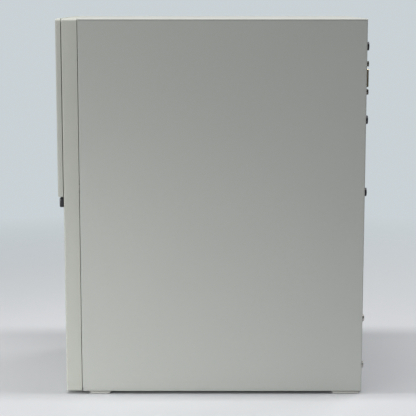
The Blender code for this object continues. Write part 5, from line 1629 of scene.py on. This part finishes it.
def make_memory():
    for number in (1, 2):
        low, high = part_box(f"memory_module_{number}")
        y = (low.y + high.y) / 2
        notch = low.x + 0.0125
        outline = [
            (low.x, low.z), (notch - 0.0013, low.z), *arc((notch, low.z), 0.0013, 180, 0, 6), (high.x, low.z)
        ]
        key = low.z + 0.0590
        outline += [
            (high.x, key - 0.0008), (high.x - 0.0040, key - 0.0008), (high.x - 0.0040, key + 0.0008),
            (high.x, key + 0.0008)
        ]
        outline += [(high.x, high.z), *arc((notch, high.z), 0.0013, 360, 180, 6), (low.x, high.z)]
        shape = Shape()
        shape.prism("XZ", outline, low.y, high.y, "circuit_board")
        for index in range(8):
            level = low.z + 0.0095 + 0.0163 * index
            if index >= 4:
                level += 0.0020
            for side in (-1, 1):
                face = y + side * 0.0006
                depth = side * 0.0009
                near, far = min(face, face + depth), max(face, face + depth)
                shape.box(
                    (low.x + 0.0075, near, level - 0.0045), (low.x + 0.0190, far, level + 0.0045),
                    "chip_black", 0.0002
                )
                for part in range(3):
                    place = level - 0.0030 + 0.0030 * part
                    shape.box(
                        (low.x + 0.0215, min(face, face + side * 0.0004), place - 0.0005),
                        (low.x + 0.0230, max(face, face + side * 0.0004), place + 0.0005), "ceramic"
                    )
        for index in range(118):
            level = low.z + 0.0035 + 0.00107 * index
            if abs(level - key) > 0.0014:
                shape.box(
                    (high.x - 0.0036, low.y - 0.00003, level - 0.0004),
                    (high.x - 0.0003, high.y + 0.00003, level + 0.0004), "gold"
                )
        sticker = (low.x + 0.0085, y - 0.0006 - 0.00095, low.z + 0.0360)
        shape.box(sticker, (low.x + 0.0180, sticker[1] + 0.0001, sticker[2] + 0.0240), "label_paper")
        shape.object(f"memory_stick_{number}", "chassis", [f"memory_module_{number}"], "circuit_board")

        low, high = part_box(f"memory_slot_{number}")
        slot = Shape()
        outer = rectangle((low.y, low.z), (high.y, high.z))
        groove = rectangle((y - 0.0009, low.z + 0.0035), (y + 0.0009, high.z - 0.0028))
        slot.prism(
            "YZ", outer, low.x + 0.0035, high.x - 0.0035, "retainer_blue" if number == 1 else "cable_black",
            [groove], 0.0002
        )
        slot.prism("YZ", outer, high.x - 0.0036, high.x, "retainer_blue" if number == 1 else "cable_black")
        for end in (low.z + 0.0001, high.z - 0.0032):
            slot.box(
                (low.x, low.y + 0.0001, end), (low.x + 0.0040, y - 0.0012, end + 0.0031), "cable_black",
                0.0004
            )
            slot.box(
                (low.x, y + 0.0012, end), (low.x + 0.0040, high.y - 0.0001, end + 0.0031), "cable_black",
                0.0004
            )
        slot.object(f"memory_socket_{number}", "chassis", [f"memory_slot_{number}"], "connector_plastic")

        low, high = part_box(f"memory_latch_{number}")
        x = high.x
        outline = [(x, low.z), (x, low.z + 0.0045), (x - 0.0145, high.z), (low.x, low.z + 0.0045)]
        outline += [(low.x, low.z + 0.0015), (x - 0.0145, low.z)]
        latch = Shape()
        latch.prism("XZ", eased(outline, 0.0006), low.y, high.y, "latch_white", bevel=0.0004)
        for step in range(3):
            rib = low.x + 0.0008 + 0.0014 * step
            latch.box(
                (rib, low.y + 0.0006, low.z + 0.0042),
                (rib + 0.0005, high.y - 0.0006, low.z + 0.0049 + 0.0003 * step), "latch_white", 0.0001
            )
        latch.object(
            f"memory_lever_{number}", f"memory_latch_{number}", [f"memory_latch_{number}"], "latch_plastic"
        )


# The inner sheet metal.


def embossed(shape, low, high, face, outward, plane, finish="zinc_steel", width=0.0024, height=0.0004):
    """A low raised frame pressed into a sheet."""
    outer = rounded(low, high, 0.0040)
    inner = rounded((low[0] + width, low[1] + width), (high[0] - width, high[1] - width), 0.0024)
    start, end = sorted((face - outward * 0.0002, face + outward * height))
    shape.prism(plane, outer, start, end, finish, [inner], 0.0001)


def make_front_wall():
    low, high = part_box("front_wall")
    shape = Shape()
    holes = [
        rounded((-0.0665, 0.2970), (0.0665, 0.3115), 0.002),
        rounded((-0.0450, 0.1660), (0.0650, 0.1815), 0.002)
    ]
    for level in INTAKE_ROWS:
        holes += [
            rounded(
                (start, level), (start + 0.0200, level + 0.0030), 0.0014
            ) for start in (-0.0445, -0.0215, 0.0015, 0.0245)
        ]
    holes += [rounded((x - 0.003, z - 0.006), (x + 0.003, z + 0.006), 0.0006) for x, z in HOOKS]
    outline = rectangle((low.x, low.z), (high.x, high.z))
    shape.prism("XZ", outline, low.y, high.y, "zinc_steel", holes)
    embossed(shape, (-0.0600, 0.1900), (0.0600, 0.2860), high.y, 1, "XZ")
    embossed(shape, (-0.0600, 0.0860), (0.0600, 0.1560), high.y, 1, "XZ")
    for sign in (-1, 1):
        near, far = sorted((sign * high.x, sign * (high.x - 0.0008)))
        shape.box(
            (near, high.y - 0.0001, low.z + 0.004), (far, high.y + 0.0120, high.z - 0.004), "zinc_steel",
            0.0001
        )
    return shape.object("front_plate", "chassis", ["front_wall"], "zinc_steel")


def make_board_tray():
    low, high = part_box("board_tray")
    face = 0.0770
    shape = Shape()
    window = rounded((0.0200, 0.2080), (0.1040, 0.2920), 0.0060)
    passage = rounded((-0.0900, 0.1200), (-0.0600, 0.2200), 0.0050)
    spare = [circle((y, z), 0.0020, 16) for y in (-0.0900, -0.0200, 0.0250, 0.1180) for z in (0.0300, 0.0700)]
    outline = rectangle((low.y, low.z), (high.y, high.z))
    shape.prism("YZ", outline, face, high.x, "zinc_steel", [window, passage, *spare])
    for y, z in POSTS:
        post = [
            (0.0, 0.0), (0.0030, 0.0), (0.0030, 0.0010), (0.0026, 0.0014), (0.0026, face - low.x),
            (0.0, face - low.x)
        ]
        shape.lathe((face + 0.0002, y, z), (-1, 0, 0), post, "gold", 6)
        shape.lathe(
            (face + 0.0001, y, z), (-1, 0, 0), [(0.0, 0.0), (0.0055, 0.0), (0.0048, 0.0008), (0.0, 0.0008)],
            "zinc_steel", 24
        )
    embossed(shape, (-0.0480, 0.0780), (0.1240, 0.3260), face, -1, "YZ")
    embossed(shape, (-0.1100, 0.2300), (-0.0580, 0.2880), face, -1, "YZ")
    embossed(shape, (-0.1100, 0.0420), (-0.0580, 0.1120), face, -1, "YZ")
    return shape.object("board_plate", "chassis", ["board_tray"], "zinc_steel")


def make_bottom_pan():
    low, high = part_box("bottom_pan")
    shape = Shape()
    holes = []
    for foot in ("foot_front_left", "foot_front_right", "foot_rear_left", "foot_rear_right"):
        middle = mid(foot)
        holes.append(
            rectangle((middle.x - 0.0023, middle.y - 0.0023), (middle.x + 0.0023, middle.y + 0.0023))
        )
    outline = rectangle((low.x, low.y), (high.x, high.y))
    shape.prism("XY", outline, low.z, high.z, "zinc_steel", holes)
    return shape.object("bottom_plate", "chassis", ["bottom_pan"], "zinc_steel")


# Drives.


def make_hard_drive():
    low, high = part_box("hard_drive")
    shape = Shape()
    base_top = high.z - 0.0026
    outline = rounded((low.x, low.y), (high.x, high.y), 0.0020)
    shape.prism("XY", outline, low.z + 0.0016, base_top, "cast_aluminium", bevel=0.0005)
    lid = rounded((low.x + 0.0025, low.y + 0.0020), (high.x - 0.0025, high.y - 0.0020), 0.0100)
    shape.prism("XY", lid, base_top - 0.0001, high.z - 0.0010, "brushed_aluminium", bevel=0.0005)
    raised = rounded((low.x + 0.0300, low.y + 0.0090), (high.x - 0.0070, high.y - 0.0090), 0.0300, 10)
    shape.prism("XY", raised, high.z - 0.0012, high.z - 0.0003, "brushed_aluminium", bevel=0.0004)
    y = (low.y + high.y) / 2
    sticker = rounded((low.x + 0.0400, y - 0.0300), (high.x - 0.0150, y + 0.0300), 0.0020)
    shape.prism("XY", sticker, high.z - 0.0004, high.z - 0.00015, "label_paper")
    places = [
        (x, side) for x in (
            low.x + 0.0080, 0.0, high.x - 0.0080
        ) for side in (low.y + 0.0060, high.y - 0.0060)
    ]
    for index, (x, side) in enumerate(places):
        turn = radians(19 + 37 * index)
        bolt = screw(0.0026, 0.0009, "plated_steel", shank=0)
        shape.merge(bolt, facing((x, side, high.z - 0.0011), (0, 0, 1), (cos(turn), sin(turn), 0)))
    pivot_ring = [(0.0, 0.0), (0.0065, 0.0), (0.0070, -0.0004), (0.0070, -0.0008), (0.0, -0.0008)]
    shape.lathe((low.x + 0.0220, high.y - 0.0240, high.z - 0.0003), (0, 0, 1), pivot_ring, "plated_steel", 32)
    shape.box(
        (low.x + 0.0030, low.y + 0.0040, low.z), (high.x - 0.0250, high.y - 0.0040, low.z + 0.0018),
        "circuit_board", 0.0002
    )
    plug = mid("drive_cable")
    level = 0.0180
    for start, stop in ((plug.y - 0.0085, plug.y + 0.0085), (plug.y - 0.0340, plug.y - 0.0110)):
        shape.box(
            (low.x - 0.0002, start, level - 0.0035), (low.x + 0.0060, stop, level + 0.0035), "cable_black",
            0.0004
        )
    for index in range(15):
        start = plug.y - 0.0320 + 0.0013 * index
        shape.box(
            (low.x - 0.0003, start, level - 0.0006), (low.x + 0.0010, start + 0.0007, level + 0.0001), "gold"
        )
    return shape.object("hard_drive_unit", "chassis", ["hard_drive"], "aluminium")


def make_hard_drive_cage():
    low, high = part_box("hard_drive_cage")
    shape = Shape()
    sheet = 0.0008
    floor = rectangle((low.x, low.y), (high.x, high.y))
    holes = [rounded((x - 0.0150, -0.0850), (x + 0.0150, -0.0350), 0.0050) for x in (-0.0450, 0.0, 0.0450)]
    shape.prism("XY", floor, low.z, low.z + sheet, "zinc_steel", holes)
    slots = [
        rounded(
            (x - 0.0090, low.z + 0.0080), (x + 0.0090, low.z + 0.0130), 0.0024
        ) for x in (-0.0500, -0.0170, 0.0170, 0.0500)
    ]
    wall = eased([(low.x, low.z), (high.x, low.z), (high.x, high.z), (low.x, high.z)], 0.0020)
    for start in (low.y, high.y - sheet):
        shape.prism("XZ", wall, start, start + sheet, "zinc_steel", slots)
    for index, x in enumerate((-0.0350, 0.0350)):
        turn = radians(25 + 60 * index)
        bolt = screw(0.0034, 0.0016, "plated_steel", domed=True, shank=0)
        shape.merge(bolt, facing((x, high.y, low.z + 0.0190), (0, 1, 0), (cos(turn), 0, sin(turn))))
    return shape.object("hard_drive_bay", "chassis", ["hard_drive_cage"], "zinc_steel")


def make_optical_drive():
    low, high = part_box("optical_drive")
    sheet = 0.0008
    shape = Shape()
    outer = rounded((low.x, low.z), (high.x, high.z), 0.0010)
    inner = rounded((low.x + sheet, low.z + sheet), (high.x - sheet, high.z - sheet), 0.0004)
    shape.prism("XZ", outer, low.y, high.y - sheet, "zinc_steel", [inner])
    shape.prism("XZ", outer, high.y - sheet, high.y, "zinc_steel")
    for x, half in ((-0.0300, 0.0120), (-0.0080, 0.0060)):
        shape.box(
            (x - half, high.y - 0.0002, low.z + 0.0020), (x + half, high.y + 0.0012, low.z + 0.0075),
            "cable_black", 0.0003
        )
    sticker = rounded((-0.0350, -0.0800), (0.0350, -0.0300), 0.0020)
    shape.prism("XY", sticker, high.z - 0.0001, high.z + 0.0001, "label_paper")
    shape.object("optical_shell", "chassis", ["optical_drive"], "zinc_steel")


def make_optical_cage():
    low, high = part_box("optical_drive_cage")
    sheet = 0.0008
    shape = Shape()
    windows = [rounded((x - 0.0180, -0.0900), (x + 0.0180, -0.0150), 0.0060) for x in (-0.0330, 0.0330)]
    shape.prism(
        "XY", rectangle((low.x, low.y), (high.x, high.y)), low.z, low.z + sheet, "zinc_steel", windows
    )
    slots = [
        rounded(
            (y - 0.0080, low.z + 0.0070), (y + 0.0080, low.z + 0.0100), 0.0014
        ) for y in (-0.0900, -0.0550, -0.0200)
    ]
    slots += [
        rounded(
            (y - 0.0100, low.z + 0.0200), (y + 0.0100, low.z + 0.0300), 0.0030
        ) for y in (-0.0800, -0.0450, -0.0100)
    ]
    wall = rectangle((low.y, low.z), (high.y, high.z))
    for start in (low.x, high.x - sheet):
        shape.prism("YZ", wall, start, start + sheet, "zinc_steel", slots)
    for index, y in enumerate((-0.0720, -0.0370)):
        turn = radians(40 + 50 * index)
        bolt = screw(0.0026, 0.0012, "black_oxide", domed=True, shank=0)
        shape.merge(bolt, facing((low.x, y, low.z + 0.0085), (-1, 0, 0), (0, cos(turn), sin(turn))))
    return shape.object("optical_bay", "chassis", ["optical_drive_cage"], "zinc_steel")


def make_tray():
    low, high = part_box("optical_tray")
    centre = (mid("disc_hub").x, mid("disc_hub").y)
    outline = rectangle((low.x, low.y), (high.x, high.y))
    floor = high.z - 0.0018
    shape = Shape()
    eye = circle(centre, 0.0150, 40)
    shape.prism("XY", outline, low.z, floor - 0.0008, "fan_black", [eye])
    shape.prism("XY", outline, floor - 0.0009, floor, "fan_black", [circle(centre, 0.0405, 72)])
    shape.prism(
        "XY", rounded((low.x, low.y), (high.x, high.y), 0.0015), floor - 0.0001, high.z, "fan_black",
        [circle(centre, 0.0605, 96)], 0.0002
    )
    for x in (-0.0040, 0.0025):
        shape.box(
            (x, centre[1] - 0.0158, low.z), (x + 0.0015, centre[1] + 0.0158, low.z + 0.0012), "fan_black",
            0.0002
        )
    for angle in (45, 135, 225, 315):
        x, y = centre[0] + 0.0598 * cos(radians(angle)), centre[1] + 0.0598 * sin(radians(angle))
        shape.lathe(
            (x, y, floor), (0, 0, 1), [(0, 0.0016), (0.0012, 0.0015), (0.0016, 0.0008), (0.0016, 0), (0, 0)],
            "fan_black", 16
        )
    shape.box((-0.0200, high.y - 0.0100, high.z - 0.0014), (0.0200, high.y - 0.0095, high.z), "fan_black")
    shape.object("disc_carrier", "disc_tray", ["optical_tray"], "black_plastic")

    low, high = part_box("disc_hub")
    middle = ((low.x + high.x) / 2, (low.y + high.y) / 2, low.z)
    height = high.z - low.z
    hub = Shape()
    profile = [
        (0, 0), (0.0071, 0), (0.0071, 0.0012), (0.0066, 0.0016), (0.0066, height - 0.0008), (0.0058, height)
    ]
    profile += [(0.0030, height), (0.0026, height - 0.0003), (0, height - 0.0003)]
    hub.lathe(middle, (0, 0, 1), profile, "plated_steel", 48)
    for angle in (90, 210, 330):
        x, y = middle[0] + 0.0064 * cos(radians(angle)), middle[1] + 0.0064 * sin(radians(angle))
        ball = [(0.0008 * sin(radians(a)), 0.0008 * cos(radians(a))) for a in range(0, 181, 30)]
        hub.lathe((x, y, low.z + height * 0.55), (0, 0, 1), ball, "chip_black", 14)
    hub.object("disc_spindle", "disc_hub", ["disc_hub"], "bright_steel")


def make_tray_front():
    low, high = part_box("tray_face")
    shape = Shape()
    hole = (
        (EJECT_LOW.x - 0.0003, EJECT_LOW.z - 0.0003), (EJECT_HIGH.x + 0.0003, EJECT_HIGH.z + 0.0003), 0.0010
    )
    pin = ((0.0368, 0.3046), (0.0376, 0.3054), 0.00038)
    lamp = ((0.0290, 0.3044), (0.0318, 0.3056), 0.0005)
    shape.tile(
        (low.x, low.z), (high.x, high.z), low.y, high.y, 0.0006, 0.0012, "bezel_plastic", [hole, pin, lamp],
        0.0002
    )
    shape.box(
        (pin[0][0], high.y - 0.0004, pin[0][1]), (pin[1][0], high.y - 0.0001, pin[1][1]), "groove_shadow"
    )
    shape.tile(lamp[0], lamp[1], low.y + 0.0001, high.y - 0.0001, 0.0002, 0.0004, "retainer_blue")
    shape.object("tray_front", "disc_tray", ["tray_face"], "bezel_plastic")
    button = Shape()
    button.tile(
        (EJECT_LOW.x, EJECT_LOW.z), (EJECT_HIGH.x, EJECT_HIGH.z), EJECT_LOW.y, EJECT_HIGH.y, 0.0003, 0.0008,
        "button_plastic"
    )
    button.object("eject_key", "eject_button", ["eject_button"], "bezel_plastic")


# Cables.


def make_main_cable():
    """Twenty-four wires that leave the power supply in a bundle and spread into a two-row plug."""
    low, high = PLUG_LOW, PLUG_HIGH
    y, z = (low.y + high.y) / 2, (low.z + high.z) / 2
    start_y = SUPPLY_LOW.y - 0.0003
    trunk = [
        (0.0550, start_y, 0.0620), (0.0550, -0.0120, 0.0620), (0.0540, -0.0300, 0.0800),
        (0.0530, -0.0360, 0.1200)
    ]
    shape = Shape()
    colours = [
        "wire_orange", "wire_orange", "cable_black", "wire_red", "cable_black", "wire_red", "cable_black",
        "wire_white"
    ]
    colours += ["wire_red", "wire_yellow", "wire_yellow", "wire_orange"]
    for wire in range(24):
        column, row = wire % 12, wire // 12
        ring, count = (0.0012, 6) if wire < 6 else (0.0031, 18)
        angle = 2 * pi * (wire if wire < 6 else wire - 6) / count
        path = []
        for x, place_y, place_z in trunk:
            steep = place_z > 0.0700
            shift = (ring * cos(angle), ring * sin(angle), 0) if steep else (
                ring * cos(angle), 0, -ring * sin(angle)
            )
            path.append((x + shift[0], place_y + shift[1], place_z + shift[2]))
        end_y, end_z = y + (row - 0.5) * 0.0042, low.z + 0.0029 + 0.0042 * column
        spread = (end_z - z) * 0.35
        path.append((0.0475 + ring * cos(angle) * 0.6, end_y, 0.1560 + spread * 0.4))
        path.append((0.0425 + row * 0.0012, end_y, end_z - 0.0100))
        path += [(0.0440, end_y, end_z - 0.0028), (low.x + 0.0012, end_y, end_z)]
        shape.tube(eased_route(path, 7), 0.00078, colours[(column + 5 * row) % 12], 7)
    band = [(0.0042, -0.0015), (0.0047, -0.0010), (0.0047, 0.0010), (0.0042, 0.0015)]
    shape.lathe(
        (0.0532, -0.0350, 0.1130), (0.0, 0.12, -1),
        [(0.0035, -0.0015), *band, (0.0035, 0.0015), (0.0035, -0.0015)], "cable_black", 24
    )
    shape.box(low, (high.x, high.y, high.z), "connector_white", 0.0005)
    for column in range(12):
        for row in (0, 1):
            level, side = low.z + 0.0029 + 0.0042 * column, y + (row - 0.5) * 0.0042
            mouth = rounded((side - 0.0017, level - 0.0017), (side + 0.0017, level + 0.0017), 0.0005)
            ring = rounded((side - 0.0020, level - 0.0020), (side + 0.0020, level + 0.0020), 0.0006)
            shape.prism("YZ", ring, low.x - 0.0004, low.x + 0.0004, "connector_white", [mouth])
    shape.box(
        (low.x + 0.0020, low.y - 0.0012, z - 0.0040), (high.x + 0.0020, low.y - 0.0002, z + 0.0040),
        "connector_white", 0.0003
    )
    return shape.object("main_power_loom", "chassis", ["main_power_cable"], "cable_sheath")


def make_drive_cable():
    """A flat cable with a plug at each end."""
    points = [
        (-0.0790, -0.0300, 0.0195), (-0.0795, -0.0300, 0.0350), (-0.0750, -0.0300, 0.0600),
        (-0.0500, -0.0280, 0.0950)
    ]
    points += [(0.0100, -0.0280, 0.1060), (0.0480, -0.0280, 0.1078), (0.0560, -0.0280, 0.1080)]
    shape = Shape()
    shape.ribbon(eased_route(points, 8), 0.0072, 0.0017, (0, 1, 0), "wire_red")
    shape.box((-0.0812, -0.0345, 0.0145), (-0.0739, -0.0255, 0.0215), "cable_black", 0.0008)
    shape.box((0.0545, -0.0328, 0.1045), (0.0640, -0.0232, 0.1115), "cable_black", 0.0008)
    shape.box((0.0560, -0.0295, 0.1114), (0.0625, -0.0265, 0.1124), "plated_steel", 0.0002)
    return shape.object("drive_data_cable", "chassis", ["drive_cable"], "cable_sheath")


def make_panel_cable():
    """Thin wires from the sockets' board to the header."""
    points = [(0.0000, -0.0874, 0.1718), (0.0010, -0.0800, 0.1716), (0.0280, -0.0640, 0.1450)]
    points += [(0.0480, -0.0480, 0.1180), (0.0570, -0.0425, 0.1065), (0.0600, -0.0420, 0.1050)]
    shape = Shape()
    finishes = [
        "cable_black", "wire_white", "wire_red", "cable_black", "wire_yellow", "cable_black", "retainer_blue",
        "cable_black"
    ]
    for wire, finish in enumerate(finishes):
        angle = 2 * pi * wire / len(finishes)
        path = [(x, y + 0.0012 * cos(angle), z + 0.0012 * sin(angle)) for x, y, z in points]
        shape.tube(eased_route(path, 8), 0.00055, finish, 6)
    shape.box((0.0590, -0.0448, 0.0985), (0.0640, -0.0392, 0.1115), "cable_black", 0.0004)
    shape.box((-0.0035, -0.0892, 0.1700), (0.0035, -0.0862, 0.1740), "connector_white", 0.0003)
    return shape.object("front_panel_wires", "chassis", ["front_panel_cable"], "cable_sheath")


make_motherboard()
make_board_parts()
make_cooler()
make_memory()
make_front_wall()
make_board_tray()
make_bottom_pan()
make_hard_drive()
make_hard_drive_cage()
make_optical_drive()
make_optical_cage()
make_tray()
make_tray_front()
make_main_cable()
make_drive_cable()
make_panel_cable()


# The camera, the light and the stage.


# The camera's place from the plain side, the front and the top, its tilt in degrees and its lens.
CAMERA_AWAY, CAMERA_ALONG, CAMERA_RISE = 1.172, 0.1335, 0.018
CAMERA_TILT, CAMERA_LENS = 8.97, 115.3


def make_camera():
    """Square on to the plain side, a little above the top, looking slightly down."""
    data = bpy.data.cameras.new("camera")
    data.lens = CAMERA_LENS
    data.sensor_width = 36.0
    made = bpy.data.objects.new("camera", data)
    made.location = (SIDE + CAMERA_AWAY, LOW.y + CAMERA_ALONG, HIGH.z + CAMERA_RISE)
    made.rotation_euler = (radians(90.0 - CAMERA_TILT), 0.0, radians(90.0))
    bpy.context.scene.collection.objects.link(made)
    bpy.context.scene.camera = made


def make_light(name, place, aim, size, power, colour=(1.0, 1.0, 1.0), spread=180):
    data = bpy.data.lights.new(name, "AREA")
    data.shape = "RECTANGLE"
    data.size, data.size_y = size
    data.energy = power
    data.color = colour
    data.spread = radians(spread)
    made = bpy.data.objects.new(name, data)
    made.location = place
    made.rotation_euler = (Vector(aim) - Vector(place)).to_track_quat("-Z", "Y").to_euler()
    made.visible_camera = False
    bpy.context.scene.collection.objects.link(made)


def make_stage():
    """A pale floor that fades into the backdrop's colour some way from the tower."""
    radius, steps = 1.1, 96
    mesh = bmesh.new()
    ring = [mesh.verts.new((x, y, -0.0002)) for x, y in circle((0, 0), radius, steps)]
    mesh.faces.new(ring)
    data = bpy.data.meshes.new("floor")
    mesh.to_mesh(data)
    mesh.free()
    pale = Finish("stage_paint", (0.68, 0.69, 0.71), 0.62)
    tree = pale.tree
    clear = pale.node("ShaderNodeBsdfTransparent")
    blend = pale.node("ShaderNodeMixShader")
    reach = pale.node("ShaderNodeVectorMath", operation="LENGTH")
    pale.link(pale.place, reach.inputs[0])
    pale.link(pale.range(reach.outputs["Value"], 0.30, 0.95, 0.0, 1.0), blend.inputs["Fac"])
    pale.link(pale.shader.outputs["BSDF"], blend.inputs[1])
    pale.link(clear.outputs["BSDF"], blend.inputs[2])
    pale.link(blend.outputs["Shader"], tree.nodes["Material Output"].inputs["Surface"])
    data.materials.append(pale.material)
    made = bpy.data.objects.new("floor", data)
    bpy.context.scene.collection.objects.link(made)


def make_world():
    """The backdrop that the camera sees, and the dimmer light that it gives."""
    world = bpy.data.worlds.new("studio")
    world.use_nodes = True
    tree = world.node_tree
    light = tree.nodes["Background"]
    light.inputs["Color"].default_value = (0.94, 0.97, 1.0, 1.0)
    light.inputs["Strength"].default_value = AMBIENT
    seen = tree.nodes.new("ShaderNodeBackground")
    seen.inputs["Color"].default_value = (*BACKDROP, 1.0)
    path = tree.nodes.new("ShaderNodeLightPath")
    blend = tree.nodes.new("ShaderNodeMixShader")
    tree.links.new(path.outputs["Is Camera Ray"], blend.inputs["Fac"])
    tree.links.new(light.outputs["Background"], blend.inputs[1])
    tree.links.new(seen.outputs["Background"], blend.inputs[2])
    tree.links.new(blend.outputs["Shader"], tree.nodes["World Output"].inputs["Surface"])
    bpy.context.scene.world = world
    bpy.context.scene.view_settings.view_transform = "Standard"


BACKDROP = (0.585, 0.640, 0.670)
AMBIENT = 0.20

make_camera()
make_stage()
make_world()
make_light("overhead", (0.075, -0.10, 1.15), (0.075, -0.10, 0.0), (0.10, 1.2), 11.0)
make_light("low_fill", (1.45, -1.55, 0.28), (0.0, -0.10, 0.08), (1.45, 0.50), 18.5, (1.0, 0.99, 0.97))
make_light("near_pool", (0.50, -0.45, 0.30), (0.085, -0.14, 0.00), (0.20, 0.15), 0.062, spread=60)
make_light("far_pool", (0.70, -0.50, 0.14), (0.085, -0.11, 0.00), (0.25, 0.15), 0.031, spread=40)
make_light("rear_fill", (-0.75, 1.00, 0.75), (-0.05, 0.20, 0.0), (0.8, 0.8), 5.5)
